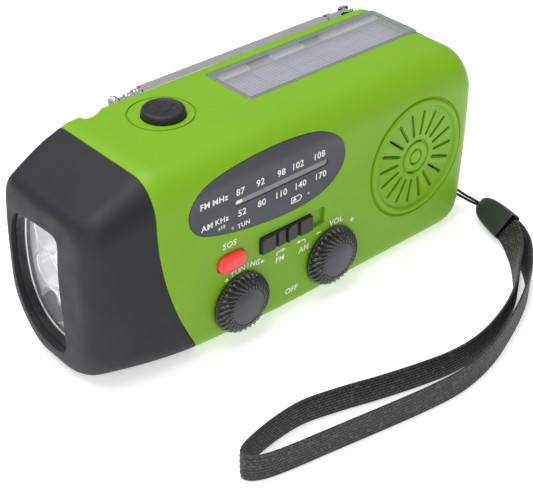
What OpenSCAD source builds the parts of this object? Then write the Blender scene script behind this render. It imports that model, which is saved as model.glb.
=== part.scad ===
// Pocket emergency radio with a hand-crank dynamo, a solar panel, a torch and a wrist strap.
// X runs along the length with the torch at -X, the dial faces -Y, +Z is up.
// The origin is the middle of the flat base.

/* [Body] */
// Overall length from the torch to the tail
body_len = 136; // [124:1:170]
// Depth from the dial face to the rear face
body_d = 46; // [42:1:58]
// Height
body_h = 57; // [52:1:72]
// Thickness of the moulded walls
wall = 2; // [1.6:0.1:2.6]
// Radius of the top front edge
shoulder_r = 10; // [6:1:12]
// Radius of the other long edges
edge_r = 5; // [3:0.5:6]
// Radius of the corners at the tail
tail_r = 11; // [7:1:13]
// Thickness of the rear cover from its joint line to the rear face
cover_d = 4.4; // [3.8:0.1:6]

/* [Torch end] */
// Height of the torch end at its tip
tip_h = 49; // [44:1:54]
// Depth of the torch end at its tip
tip_d = 37.6; // [32:0.2:42]
// Length over which the sides close in towards the tip
taper_len = 34; // [26:1:36]
// Radius of the curved joint line between torch end and body
seam_r = 86.5; // [70:0.5:110]
// Height at which the joint line reaches furthest forward
seam_z = 46; // [38:1:50]
// Distance from the tip to the joint line at that height
seam_x = 18.8; // [15:0.1:22]
// Height of the torch opening
mouth_h = 36; // [30:1:40]
// Width of the torch opening
mouth_w = 21; // [16:0.5:22]
// Bore radius of one reflector cup at its mouth
cup_r = 5.4; // [4.4:0.1:5.6]
// Radius of one torch LED
led_r = 2.5; // [1.5:0.1:2.5]

/* [Controls] */
// Radius of the two knobs
knob_r = 9; // [7:0.1:9.4]
// Thickness of the two knobs
knob_h = 3.4; // [2.6:0.1:6]
// Height of both knob axes above the base
knob_z = 12.2; // [11.5:0.1:16]
// Distance between the two knob axes
knob_pitch = 32.7; // [30:0.1:36]
// Radius of the knob shafts
shaft_r = 2; // [1.5:0.1:2.4]
// Radius of the torch button
lamp_btn_r = 5.9; // [5:0.1:7]
// Travel of the torch button
lamp_travel = 0.8; // [0.5:0.1:1.2]
// Length of the distress button
sos_w = 9.2; // [7:0.1:10]
// Height of the distress button
sos_h = 5.4; // [4:0.1:6]
// Travel of the distress button
sos_travel = 0.6; // [0.4:0.1:0.9]
// Length of the band slider
slider_w = 18; // [15:0.1:18.4]
// Height of the band slider
slider_h = 5; // [4:0.1:5.6]
// Travel of the band slider
slider_travel = 4.5; // [3:0.1:4.8]

/* [Dial] */
// Height of the pointer line
dial_z = 43; // [40:0.5:45]
// Travel of the pointer
pointer_travel = 29.5; // [24:0.1:30]
// Height of the pointer slot
slot_h = 1.8; // [1.4:0.1:2.4]

/* [Speaker] */
// Radius of the loudspeaker frame
speaker_r = 17; // [15:0.1:18]
// Number of slots in the grille
grille_slots = 18; // [12:1:24]
// Width of a grille slot
grille_slot_w = 0.9; // [0.5:0.1:1.2]

/* [Solar panel] */
// Length of the clear cover
solar_w = 64.7; // [56:0.1:66]
// Depth of the clear cover
solar_d = 19; // [15:0.1:19.4]
// Thickness of the clear cover
solar_t = 1.2; // [1:0.1:1.6]

/* [Crank] */
// Distance from the crank axis to the handle pivot
crank_arm = 46; // [38:1:48]
// Radius of the crank shaft
crank_shaft_r = 2.5; // [2:0.1:3]
// Module of the dynamo gears
gear_m = 0.7; // [0.6:0.02:0.74]
// Teeth of the large gears
gear_teeth = 48; // [44:2:48]
// Teeth of the pinions
pinion_teeth = 12; // [12:1:14]
// Thickness of each gear
gear_t = 2.2; // [1.6:0.1:2.4]
// Radius of the dynamo can
dynamo_r = 11; // [9:0.5:11.5]

/* [Antenna] */
// Outer radius of the thickest antenna tube
ant_r = 2.1; // [1.8:0.05:2.1]
// Wall thickness of the antenna tubes
ant_wall = 0.32; // [0.25:0.01:0.35]
// Distance that each tube pulls out
ant_travel = 58; // [40:1:60]
// Length that stays inside the next tube when one is pulled out
ant_overlap = 9; // [6:0.5:12]

/* [Battery] */
// Radius of the rechargeable cell
cell_r = 7.1; // [5:0.1:7.2]
// Length of the rechargeable cell
cell_len = 50; // [40:1:50]

/* [Strap] */
// Radius of the strap's thin cord
cord_r = 0.4; // [0.3:0.05:0.8]
// Width of the strap's webbing
web_w = 8; // [6:0.5:9]
// Thickness of the strap's webbing
web_t = 1.1; // [0.8:0.1:1.3]

/* [Fits] */
// Radial clearance of turning and sliding fits
run_gap = 0.08; // [0.05:0.01:0.1]
// Gap around buttons, knobs and covers
part_gap = 0.2; // [0.15:0.05:0.3]

/* [Hidden] */
$fn = 48;

// Faces of the whole body
tip_x = -body_len / 2;
tail_x = body_len / 2;
face_y = -body_d / 2;
rear_y = body_d / 2;
joint_y = rear_y - cover_d + 0.6;
cut = 1;

// Joint line of the torch end: a cylinder that runs front to back
seam_cx = tip_x + seam_x + seam_r;
lip_len = 4;
lip_t = 1.1;
lip_gap = 0.1;

// Antenna channel along the top rear edge
ant_y = rear_y - 1.2;
ant_z = body_h - 1.8;
ant_gap = 0.5;
ant_right = tail_x - 22;
ant_pivot_x = tail_x - 12;
ant_foot_z = ant_z - 4.2;
ant_len = ant_travel + ant_overlap;
post_pin_r = 1;
knuckle_r = 2.4;
tongue_t = 2;
tilt_pin_r = 0.6;
tube_step = 2.6;

// Torch end
mouth_y = 3.8;
mouth_z = tip_h / 2 + 1;
lens_t = 1.4;
lens_x = tip_x + 4.2;
led_pitch = 2 * cup_r + 0.4;
reflector_t = 8.6;
board_t = 1.4;

// Top of the radio
solar_x = tail_x - 6.6 - solar_w;
solar_y = rear_y - 7.1 - solar_d;
cell_drop = 3.2;
solar_cell_t = 1.4;
tub_wall = 1.2;
lamp_x = tip_x + 42.5;
lamp_y = 5.5;
lamp_proud = 2.4;
flange = 1.2;
lamp_board_z = body_h - wall - 9;

// Dial face
knob_gap = 0.4;
knob_x1 = tip_x + 44;
knob_x2 = knob_x1 + knob_pitch;
knob_top_y = face_y - knob_gap - knob_h;
board_y = face_y + wall + 7.6;
slot_x0 = knob_x1 - 1.2;
slot_x1 = slot_x0 + pointer_travel + 2.6;
window_x = tip_x + 60;
window_z = dial_z + 0.1;
window_t = 1;
slider_x0 = tip_x + 51;
slider_z = 26.4;
slider_proud = 1.2;
slider_pocket = 1.2;
slider_pocket_w = slider_w + slider_travel + 0.4;
slider_pocket_x = slider_x0 - 0.2 + slider_pocket_w / 2;
slider_stem_w = 4;
slider_mid_x = slider_x0 + slider_w / 2;
sos_x = tip_x + 41.2;
sos_z = 26.3;
sos_proud = 1.4;
speaker_x = tail_x - 26;
speaker_z = 30.4;
speaker_y = face_y + wall + 0.5;
drum_r = pointer_travel / PI;
drum_t = 2.6;
drum_y = face_y + wall + 1.4;
cord_line_r = 0.35;
post_r = 1.6;
cord_y = drum_y + drum_t / 2;
cord_left = knob_x1 - drum_r;
cord_right = slot_x1 + 5.4;
cord_bend_r = post_r + cord_line_r + 0.05;
cord_back_x = knob_x1 + drum_r;

// Dynamo and its gears
gear_r = gear_m * gear_teeth / 2;
pinion_r = gear_m * pinion_teeth / 2;
gear_pitch = gear_r + pinion_r;
crank_x = tail_x - 48;
crank_z = 28.5;
mid_x = crank_x - gear_pitch;
dyn_dir = 200;
dyn_x = mid_x + gear_pitch * cos(dyn_dir);
dyn_z = crank_z + gear_pitch * sin(dyn_dir);
plate_t = 1.2;
plate_gap = 7;
plate2_y = rear_y - wall - 1.2 - plate_t;
plate1_y = plate2_y - plate_gap - plate_t;
high_y = plate2_y - 0.4 - gear_t;
low_y = high_y - 0.6 - gear_t;
axle_r = 1;
dyn_shaft_r = 0.8;
dyn_len = 13;
pinion_step = 360 / pinion_teeth;
gear_tip_r = gear_r + 0.72 * gear_m;
pillar_r = 1.6;
pillar_drop = sqrt(pow(gear_tip_r + pillar_r + 0.5, 2) - pow(gear_pitch / 2, 2));
plate_x0 = dyn_x - 9;
plate_x1 = crank_x + gear_tip_r + 2 * pillar_r + 1.6;
pillars = [[plate_x0 + 2.6, crank_z + 10], [plate_x0 + 2.2, crank_z - 11.4],
           [crank_x + gear_tip_r + pillar_r + 0.5, crank_z],
           [crank_x - gear_pitch / 2, crank_z - pillar_drop]];

// Crank on the rear face
arm_gap = 1.6;
arm_t = 5.2;
arm_w = 12;
arm_y = rear_y + arm_gap;
grip_r = 3.3;
grip_len = 19;
grip_slot_w = 2 * grip_r + 1.2;
handle_pin_r = 0.9;
spindle_r = 1.2;
handle_x = crank_x - crank_arm;

// Battery and ferrite aerial
cell_y = 1.5;
cell_z = wall + 1.2 + cell_r;
cell_x0 = tail_x - 11 - cell_len;
ferrite_z = body_h - cell_drop - solar_cell_t - tub_wall - 4.6;

// Ports at the tail
port_y = 3;
port_z = 30;
port_w = 15;
port_h = 21;
usb_board_x = tail_x - wall - 6.4;
cover_t = 1.2;
port_hinge_z = port_z + port_h / 2 - part_gap - cover_t / 2;

// Screw posts behind the rear cover: x, z of each
posts = [[knob_x1 + knob_pitch / 2, wall + 3.6], [tail_x - 5.2, wall + 6], [tail_x - 5.2, body_h - 8],
         [tip_x + 30, body_h - 11]];
post_out_r = 2.6;
screw_r = 1;
screw_head_r = 1.9;
screw_len = 9;

// Strap
bar_x = tail_x - 2.2;
bar_y = face_y + 9;
bar_z = 7;
bar_r = 0.9;
ferrule_from = [69.3, -27.8, 4];
ferrule_to = [65.7, -38, 4.5];
cord_route = [[69, -27, 4], [68.8, -24.6, 4], [68.4, -22.2, 4.2], [67.8, -19.6, 4.7],
              [66.8, -17.4, 5.4], [65.5, -15.8, 6], [64.3, -14.9, 6.4], [63.9, -13.7, 6.7],
              [64.6, -12.6, 6.9], [65.9, -12.3, 7], [67.1, -12.9, 6.9], [68, -14.6, 6.3],
              [68.7, -17, 5.5], [69.2, -19.6, 4.8], [69.6, -22.2, 4.4], [69.8, -24.6, 4.2], [69.9, -27, 4.1]];
// Each stop of the webbing: x, y, z and lean from upright
web_route = [[65.4, -41.2, 4.1, -41], [63.8, -44.8, 4.1, -38], [61.4, -48.9, 4.1, -31],
             [57.8, -53.4, 4.1, -20], [52.6, -58.6, 4.1, -8],
             [45.6, -63.6, 4.1, 0], [37.6, -67.8, 4.1, 0], [29, -71.4, 4.1, 0],
             [20, -74.6, 4.1, 0], [11, -76.6, 4.1, 0], [2, -77.2, 4.1, 0], [-8, -76.2, 4.1, 0],
             [-18, -74.6, 4.1, 0], [-28, -72.8, 4.1, 0], [-38, -71, 4.1, 0], [-47, -69.4, 4.1, 0],
             [-53.6, -67.8, 4.1, 0], [-57.2, -65.8, 4.1, 0], [-57.8, -63.6, 4.1, 0], [-55.6, -61.8, 4.1, 0],
             [-50, -60.4, 4.1, 0], [-42, -59.4, 4.1, 0], [-34, -59.6, 4.1, 0], [-24, -62.2, 4.1, 0],
             [-14, -65.4, 4.1, 0], [-4, -68.2, 4.1, 0], [6, -70.4, 4.1, 0], [15, -70.8, 4.1, 0],
             [24, -69.4, 4.1, 0], [34, -66.2, 4.1, 0], [43, -61.8, 4.1, 0], [50.2, -56.2, 4.2, 8],
             [55.7, -51.6, 4.4, 20], [59.6, -47.4, 4.6, 31], [62.3, -43.9, 4.8, 38], [64.2, -40.5, 4.9, 41]];

// Profiles and directions
module outline(x0, y0, x1, y1, r) {
    polygon([[x0 + r[0], y0], [x1 - r[1], y0], [x1, y0 + r[1]], [x1, y1 - r[2]],
             [x1 - r[2], y1], [x0 + r[3], y1], [x0, y1 - r[3]], [x0, y0 + r[0]]]);
    translate([x0 + r[0], y0 + r[0]]) circle(r[0]);
    translate([x1 - r[1], y0 + r[1]]) circle(r[1]);
    translate([x1 - r[2], y1 - r[2]]) circle(r[2]);
    translate([x0 + r[3], y1 - r[3]]) circle(r[3]);
}
module round_rect(w, h, r) { outline(-w / 2, -h / 2, w / 2, h / 2, [r, r, r, r]); }
module along_y(y0, len) { translate([0, y0 + len, 0]) rotate([90, 0, 0]) linear_extrude(len) children(); }
module along_x(x0, len) { translate([x0, 0, 0]) rotate([90, 0, 90]) linear_extrude(len) children(); }
module along_z(z0, len) { translate([0, 0, z0]) linear_extrude(len) children(); }
module rod_y(x, z, r, y0, y1) { translate([x, y0, z]) rotate([-90, 0, 0]) cylinder(r = r, h = y1 - y0); }
module rod_x(y, z, r, x0, x1) { translate([x0, y, z]) rotate([0, 90, 0]) cylinder(r = r, h = x1 - x0); }
module rod_z(x, y, r, z0, z1) { translate([x, y, z0]) cylinder(r = r, h = z1 - z0); }
module box(x0, y0, z0, x1, y1, z1) { translate([x0, y0, z0]) cube([x1 - x0, y1 - y0, z1 - z0]); }

// Whole body, drawn i inside its outer faces
module side_profile(i) {
    intersection() {
        outline(tip_x + i, i, tail_x - i, body_h - i, [7 - i, tail_r - 2 - i, tail_r - i, 3]);
        polygon([[tip_x, 0], [tail_x, 0], [tail_x, body_h], [tip_x + seam_x + 2, body_h - i * 0.06],
                 [tip_x, tip_h + 1 - i * 0.06]]);
    }
}
module plan_profile(i) {
    side = tip_d / 2 - i * 1.02;
    half = body_d / 2 - i;
    intersection() {
        outline(tip_x + i, -half, tail_x - i, half, [1, tail_r + 1 - i, 6 - i, 1]);
        polygon([[tip_x, -side], [tip_x + taper_len, -half], [tail_x, -half], [tail_x, half],
                 [tip_x + taper_len, half], [tip_x, side]]);
    }
}
module end_profile(i) {
    outline(face_y + i, i, rear_y - i, body_h - i, [edge_r - i, edge_r - i, edge_r - i, shoulder_r - i]);
}
module whole(i) {
    intersection() {
        along_y(face_y - cut, body_d + 2 * cut) side_profile(i);
        along_z(-cut, body_h + 2 * cut) plan_profile(i);
        along_x(tip_x - cut, body_len + 2 * cut) end_profile(i);
    }
}
module torch_side(grow) {
    difference() {
        box(tip_x - 5, face_y - 5, -5, seam_cx, rear_y + 5, body_h + 5);
        rod_y(seam_cx, seam_z, seam_r + grow, face_y - 6, rear_y + 6);
    }
}
module channel() {
    reach = ant_r + ant_gap;
    rod_x(ant_y, ant_z, reach, tip_x - cut, ant_pivot_x + 5.4);
    box(tip_x - cut, ant_y - reach, ant_z, ant_pivot_x + 5.4, rear_y + cut, body_h + cut);
    box(tip_x - cut, ant_y, ant_z - reach, ant_pivot_x + 5.4, rear_y + cut, body_h + cut);
}
module finger_scoop() {
    rod_y(ant_right - ant_len - 18, body_h + 3.4, 5, ant_y - 6, rear_y + cut);
}
module shell_halves(front) {
    difference() {
        whole(0);
        difference() {
            whole(wall);
            channel_wall();
        }
        torch_side(0);
        channel();
        finger_scoop();
        if (front) box(tip_x, joint_y, -cut, tail_x + cut, rear_y + cut, body_h + cut);
        if (!front) box(tip_x, face_y - cut, -cut, tail_x + cut, joint_y, body_h + cut);
    }
}
// The walls that stay around the antenna channel
module channel_wall() {
    reach = ant_r + ant_gap + wall - 0.4;
    box(tip_x, ant_y - reach, ant_z - reach, tail_x, rear_y, body_h);
}

// Dial face openings
module window_outline(grow) {
    hull() {
        translate([window_x - 23.7, window_z + 1.8]) circle(7.8 + grow);
        translate([window_x, window_z]) circle(10.3 + grow);
        translate([window_x + 11.7, window_z - 0.4]) circle(9.7 + grow);
    }
}
module slot_outline(grow) {
    outline(slot_x0 - grow, dial_z - slot_h / 2 - grow, slot_x1 + grow, dial_z + slot_h / 2 + grow,
            [0.8, 0.8, 0.8, 0.8]);
}
module pill(w, h) { outline(-w / 2, -h / 2, w / 2, h / 2, [h / 2, h / 2, h / 2, h / 2] * 0.999); }
module grille() {
    for (k = [0:grille_slots - 1])
        translate([speaker_x, face_y - cut, speaker_z]) rotate([0, k * 360 / grille_slots, 0])
            box(speaker_r * 0.42, 0, -grille_slot_w / 2,
                speaker_r * 0.84, wall + 2 * cut, grille_slot_w / 2);
}
module face_openings() {
    difference() {
        along_y(face_y - cut, 12) window_outline(0.1);
        whole(window_t);
    }
    along_y(face_y - cut, wall + 2 * cut) slot_outline(1.4);
    rod_y(knob_x1, knob_z, shaft_r + run_gap, face_y - cut, face_y + wall + cut);
    rod_y(knob_x2, knob_z, shaft_r + run_gap, face_y - cut, face_y + wall + cut);
    along_y(face_y - cut, slider_pocket + cut) translate([slider_pocket_x, slider_z])
        round_rect(slider_pocket_w, slider_h + 0.4, 0.6);
    along_y(face_y - cut, wall + 2 * cut) translate([slider_mid_x + slider_travel / 2, slider_z])
        round_rect(slider_stem_w + slider_travel + 0.4, 2.4, 0.4);
    along_y(face_y - cut, wall + 2 * cut) translate([sos_x, sos_z])
        pill(sos_w + 2 * part_gap, sos_h + 2 * part_gap);
    grille();
}
module top_openings() {
    box(solar_x - 0.1, solar_y - 0.1, body_h - cell_drop - solar_cell_t, solar_x + solar_w + 0.1,
        solar_y + solar_d + 0.1, body_h + cut);
    rod_z(lamp_x, lamp_y, lamp_btn_r + part_gap, body_h - wall - cut, body_h + cut);
}
module solar_tub() {
    floor_z = body_h - cell_drop - solar_cell_t - tub_wall;
    box(solar_x - tub_wall, solar_y - tub_wall, floor_z, solar_x + solar_w + tub_wall,
        solar_y + solar_d + tub_wall, body_h - wall + 0.1);
}
module tail_openings() {
    along_x(tail_x - wall - cut, wall + 2 * cut) translate([port_y, port_z]) round_rect(port_w, port_h, 1.5);
    box(bar_x - 2.6, bar_y - 4, bar_z - 3, tail_x + cut, bar_y + 3, bar_z + 3);
}
module strap_pocket() {
    intersection() {
        box(bar_x - 3.8, bar_y - 8, bar_z - 4.4, tail_x, bar_y + 4.2, bar_z + 4.2);
        whole(0.2);
    }
}
module screw_posts() {
    for (p = posts) rod_y(p[0], p[1], post_out_r, face_y + wall - 0.4, joint_y);
}
module screw_bores(r, y0, y1) {
    for (p = posts) rod_y(p[0], p[1], r, y0, y1);
}

module front_shell() {
    color("yellowgreen") difference() {
        union() {
            shell_halves(true);
            solar_tub();
            strap_pocket();
            difference() {
                screw_posts();
                torch_side(0);
            }
        }
        face_openings();
        top_openings();
        tail_openings();
        screw_bores(screw_r - 0.1, joint_y - screw_len, joint_y + cut);
    }
    color("silver") rod_z(bar_x, bar_y, bar_r, bar_z - 3.2, bar_z + 3.2);
}
module rear_cover() {
    color("yellowgreen") difference() {
        union() {
            shell_halves(false);
            rod_y(crank_x, crank_z, crank_shaft_r + 2.4, rear_y - wall - 0.9, rear_y + arm_gap - 0.5);
            difference() {
                union() {
                    screw_bosses();
                    box(ant_pivot_x - 3.4, joint_y, ant_foot_z - 7, ant_pivot_x + 3.4, rear_y - 0.2, ant_z);
                }
                channel();
            }
        }
        rod_z(ant_pivot_x, ant_y, ant_r + ant_gap, ant_foot_z, body_h + cut);
        rod_z(ant_pivot_x, ant_y, post_pin_r, ant_foot_z - 9, body_h);
        rod_y(crank_x, crank_z, crank_shaft_r + run_gap, plate2_y, rear_y + 3);
        screw_bores(screw_r + 0.2, joint_y - cut, rear_y + cut);
        screw_bores(screw_head_r + 0.2, rear_y - 1.6, rear_y + cut);
    }
}
module screw_bosses() {
    for (p = posts) rod_y(p[0], p[1], post_out_r, joint_y, rear_y - 0.2);
}
module housing_screws() {
    color("dimgray") for (p = posts) {
        rod_y(p[0], p[1], screw_r - 0.1, joint_y - screw_len + 1, rear_y - 1.6);
        difference() {
            rod_y(p[0], p[1], screw_head_r, rear_y - 1.6, rear_y - 0.5);
            for (a = [0, 90]) translate([p[0], rear_y - 0.9, p[1]]) rotate([0, a, 0])
                box(-1.1, 0, -0.25, 1.1, 1, 0.25);
        }
    }
}

// Torch end
module mouth(grow, x0, x1) {
    along_x(x0, x1 - x0) translate([mouth_y, mouth_z])
        round_rect(mouth_w + 2 * grow, mouth_h + 2 * grow, 3 + grow);
}
module nose_cap() {
    color("dimgray") difference() {
        union() {
            intersection() {
                difference() {
                    whole(0);
                    difference() {
                        whole(wall);
                        mouth(wall, tip_x, lens_x + 1.5);
                    }
                }
                torch_side(0);
            }
            nose_lip();
            intersection() {
                mouth(wall, tip_x, lens_x + reflector_t);
                whole(0.2);
            }
        }
        mouth(-1, tip_x - cut, lens_x + cut);
        mouth(0, lens_x, lens_x + reflector_t + cut);
        channel();
        finger_scoop();
    }
}
module nose_lip() {
    difference() {
        intersection() {
            union() {
                intersection() {
                    whole(wall - 0.1);
                    torch_side(0);
                }
                intersection() {
                    whole(wall + lip_gap);
                    torch_side(-lip_len);
                }
            }
            torch_side(-lip_len);
        }
        whole(wall + lip_gap + lip_t);
        torch_side(3);
        channel_wall();
        box(tip_x, -8, -cut, tail_x, rear_y, body_h - 40);
    }
}
module torch_lens() {
    color("white", 0.3) mouth(-part_gap, lens_x, lens_x + lens_t);
}
module cup(k) {
    translate([lens_x + lens_t + 0.1, mouth_y, mouth_z + k * led_pitch]) rotate([0, 90, 0])
        cylinder(r1 = cup_r, r2 = led_r + 0.1, h = 6.4);
}
module reflector() {
    color("silver") difference() {
        mouth(-part_gap, lens_x + lens_t, lens_x + reflector_t);
        for (k = [-1:1]) {
            cup(k);
            rod_x(mouth_y, mouth_z + k * led_pitch, led_r + 0.1, lens_x + 4, lens_x + reflector_t + cut);
        }
    }
}
module torch_leds() {
    color("ivory") for (k = [-1:1]) translate([0, mouth_y, mouth_z + k * led_pitch]) {
        rod_x(0, 0, led_r, lens_x + 4.8, lens_x + reflector_t + 0.1);
        translate([lens_x + 4.8, 0, 0]) sphere(led_r);
    }
}
module torch_board() {
    color("darkgreen") along_x(lens_x + reflector_t + 0.1, board_t) translate([mouth_y, mouth_z])
        round_rect(mouth_w - 1, mouth_h - 1, 1);
}

// Solar panel
module solar_cover() {
    color("lightsteelblue", 0.5) box(solar_x, solar_y, body_h - solar_t, solar_x + solar_w,
        solar_y + solar_d, body_h + 0.05);
}
module solar_cell() {
    z0 = body_h - cell_drop - solar_cell_t;
    color("midnightblue") box(solar_x + 0.6, solar_y + 0.4, z0, solar_x + solar_w - 0.6,
        solar_y + solar_d - 2.2, z0 + solar_cell_t);
}

// Torch button on the top
module light_button() {
    color("dimgray") {
        rod_z(lamp_x, lamp_y, lamp_btn_r, body_h - wall - 1, body_h + lamp_proud);
        rod_z(lamp_x, lamp_y, lamp_btn_r + flange, body_h - wall - 0.3 - flange, body_h - wall - 0.3);
        rod_z(lamp_x, lamp_y, 1.5, lamp_board_z + 5, body_h - wall - flange);
    }
}
module light_switch() {
    color("black") difference() {
        box(lamp_x - 3, lamp_y - 3, lamp_board_z,
            lamp_x + 3, lamp_y + 3, lamp_board_z + 4.1 + 0.7 - lamp_travel);
        rod_z(lamp_x, lamp_y, 2, lamp_board_z + 3.2, lamp_board_z + 9);
    }
}
module light_board() {
    color("darkgreen")
        box(lamp_x - 9, lamp_y - 6, lamp_board_z - board_t, lamp_x + 9, lamp_y + 6, lamp_board_z);
}

// Dial
module dial_window() {
    color("dimgray") difference() {
        intersection() {
            along_y(face_y - cut, 12) window_outline(0);
            difference() {
                whole(-0.1);
                whole(window_t);
            }
        }
        along_y(face_y - cut, 9) slot_outline(0);
    }
}
module dial_slot_lens() {
    color("white", 0.5) along_y(face_y + 0.1, window_t - 0.1) slot_outline(-0.02);
}
module dial_back() {
    color("lightgray") difference() {
        box(slot_x0 - 2.4, board_y - 1.4, dial_z - 3.4, slot_x1 + 1.2, board_y - 0.4, dial_z + 3.4);
        rod_y(slot_x0 - 1.2, dial_z + 2, 0.5, board_y - 2, board_y);
    }
}
module dial_pointer() {
    x = slot_x0 + 1.3;
    color("white") {
        box(x - 1.1, face_y + wall - 0.6, dial_z - 1, x + 1.1, cord_y - 0.6, dial_z + 1);
        difference() {
            box(x - 1.6, cord_y - 0.9, dial_z - 1.8, x + 1.6, cord_y + 1.1, dial_z + 1.8);
            rod_x(cord_y, dial_z, cord_line_r + 0.06, x - 3, x + 3);
        }
    }
}
module cord_posts() {
    color("silver") for (p = [[cord_left + cord_bend_r, dial_z - cord_bend_r],
                              [cord_right - cord_bend_r, dial_z - cord_bend_r],
                              [cord_back_x + cord_bend_r, dial_z - 3 * cord_bend_r]])
        difference() {
            rod_y(p[0], p[1], post_r + 0.2, cord_y - 1, board_y);
            translate([p[0], cord_y, p[1]]) rotate([90, 0, 0]) rotate_extrude()
                translate([cord_bend_r, 0]) circle(cord_line_r + 0.05, $fn = 24);
        }
}
module cord_bend(x, z, r, from, turn) {
    translate([x, cord_y, z]) rotate([90, 0, 0]) rotate([0, 0, from]) rotate_extrude(angle = turn)
        translate([r, 0]) circle(cord_line_r, $fn = 16);
}
module dial_cord() {
    r = cord_bend_r;
    color("black") {
        rod_z(cord_left, cord_y, cord_line_r, knob_z, dial_z - r, $fn = 16);
        cord_bend(cord_left + r, dial_z - r, r, 90, 90);
        rod_x(cord_y, dial_z, cord_line_r, cord_left + r, cord_right - r, $fn = 16);
        cord_bend(cord_right - r, dial_z - r, r, -90, 180);
        rod_x(cord_y, dial_z - 2 * r, cord_line_r, cord_back_x + r, cord_right - r, $fn = 16);
        cord_bend(cord_back_x + r, dial_z - 3 * r, r, 90, 90);
        rod_z(cord_back_x, cord_y, cord_line_r, knob_z, dial_z - 3 * r, $fn = 16);
        cord_bend(knob_x1, knob_z, drum_r, 180, 180);
    }
}

// Knobs and what they turn
module knob(x) {
    flutes = 28;
    color("black") difference() {
        union() {
            rod_y(x, knob_z, knob_r, face_y - knob_gap - knob_h * 0.62, face_y - knob_gap);
            translate([x, face_y - knob_gap - knob_h * 0.62, knob_z]) rotate([90, 0, 0])
                cylinder(r1 = knob_r, r2 = knob_r * 0.66, h = knob_h * 0.38);
        }
        for (k = [0:flutes - 1]) translate([x, 0, knob_z]) rotate([0, k * 360 / flutes, 0])
            rod_y(knob_r + 0.35, 0, 0.62, knob_top_y - cut, face_y, $fn = 13);
        rod_y(x, knob_z, shaft_r - 0.3, face_y - knob_gap - knob_h + 1.2, face_y, $fn = 48);
    }
}
module tuning_knob() { knob(knob_x1); }
module volume_knob() { knob(knob_x2); }
module shaft(x, y1) {
    color("ivory") {
        rod_y(x, knob_z, shaft_r, face_y - knob_gap, y1);
        rod_y(x, knob_z, shaft_r - 0.3, face_y - knob_gap - knob_h + 1.2, face_y);
    }
}
module tuning_shaft() { shaft(knob_x1, board_y + board_t + 1); }
module volume_shaft() { shaft(knob_x2, board_y - 1); }
module tuning_drum() {
    color("ivory") difference() {
        rod_y(knob_x1, knob_z, drum_r + 0.25, drum_y, drum_y + drum_t);
        rod_y(knob_x1, knob_z, shaft_r, drum_y - cut, drum_y + drum_t + cut);
        translate([knob_x1, cord_y, knob_z]) rotate([90, 0, 0]) rotate_extrude()
            translate([drum_r, 0]) circle(cord_line_r + 0.08, $fn = 24);
        for (k = [0:2]) translate([knob_x1, 0, knob_z]) rotate([0, 120 * k, 0])
            rod_y(drum_r * 0.6, 0, drum_r * 0.2, drum_y - cut, drum_y + drum_t + cut);
    }
}
module tuning_capacitor() {
    y0 = board_y + board_t;
    color("gainsboro") difference() {
        box(knob_x1 - 9, y0, knob_z - 9, knob_x1 + 9, y0 + 7.5, knob_z + 9);
        rod_y(knob_x1, knob_z, shaft_r + run_gap, y0 - cut, y0 + 2);
    }
}
module volume_control() {
    color("tan") difference() {
        rod_y(knob_x2, knob_z, 8, board_y - 4.2, board_y);
        rod_y(knob_x2, knob_z, shaft_r + run_gap, board_y - 5, board_y - 0.8);
    }
}

// Band slider and its switch
module band_slider() {
    y0 = face_y - slider_proud;
    color("black") difference() {
        union() {
            box(slider_x0, y0, slider_z - slider_h / 2, slider_x0 + slider_w, face_y + slider_pocket - 0.1,
                slider_z + slider_h / 2);
            box(slider_mid_x - slider_stem_w / 2, face_y, slider_z - 1, slider_mid_x + slider_stem_w / 2,
                board_y - 2.6, slider_z + 1);
        }
        for (k = [1:5]) box(slider_x0 + k * slider_w / 6 - 0.5, y0 - cut, slider_z - slider_h,
            slider_x0 + k * slider_w / 6 + 0.5, y0 + 0.6, slider_z + slider_h);
    }
}
module band_switch() {
    w = slider_stem_w + slider_travel;
    color("silver") difference() {
        box(slider_mid_x - 4.4, board_y - 4.2, slider_z - 2.6, slider_mid_x + slider_travel + 4.4, board_y,
            slider_z + 2.6);
        box(slider_mid_x - slider_stem_w / 2 - 0.2, board_y - 5, slider_z - 1.2,
            slider_mid_x - slider_stem_w / 2 + w + 0.2, board_y - 2.2, slider_z + 1.2);
    }
}
module sos_button() {
    color("red") {
        along_y(face_y - sos_proud, sos_proud + wall + 0.6) translate([sos_x, sos_z]) pill(sos_w, sos_h);
        along_y(face_y + wall + 0.2, 0.9) translate([sos_x, sos_z]) pill(sos_w + 1.4, sos_h + 1.4);
        rod_y(sos_x, sos_z, 1, face_y + wall, board_y - 3.9);
    }
}
module sos_switch() {
    color("black") difference() {
        box(sos_x - 3, board_y - 3.6, sos_z - 3, sos_x + 3, board_y, sos_z + 3);
        rod_y(sos_x, sos_z, 1.4, board_y - 4, board_y - 3.2 + sos_travel);
    }
}

// Loudspeaker
module speaker_frame() {
    color("silver") difference() {
        union() {
            rod_y(speaker_x, speaker_z, speaker_r, speaker_y, speaker_y + 1.6);
            rod_y(speaker_x, speaker_z, speaker_r - 1.5, speaker_y, speaker_y + 4);
            rod_y(speaker_x, speaker_z, speaker_r * 0.55, speaker_y, speaker_y + 7);
        }
        rod_y(speaker_x, speaker_z, speaker_r - 2.5, speaker_y - cut, speaker_y + 3);
        rod_y(speaker_x, speaker_z, speaker_r * 0.5, speaker_y - cut, speaker_y + 6);
    }
}
module speaker_cone() {
    color("dimgray") translate([speaker_x, speaker_y + 0.2, speaker_z]) rotate([-90, 0, 0]) rotate_extrude()
        polygon([[0, 3.4], [5, 3.2], [speaker_r - 2.7, 0.2], [speaker_r - 2.7, 0.8], [5, 3.8], [0, 4]]);
}
module speaker_magnet() {
    color("gray") rod_y(speaker_x, speaker_z, speaker_r * 0.5, speaker_y + 7, speaker_y + 12);
}

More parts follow.
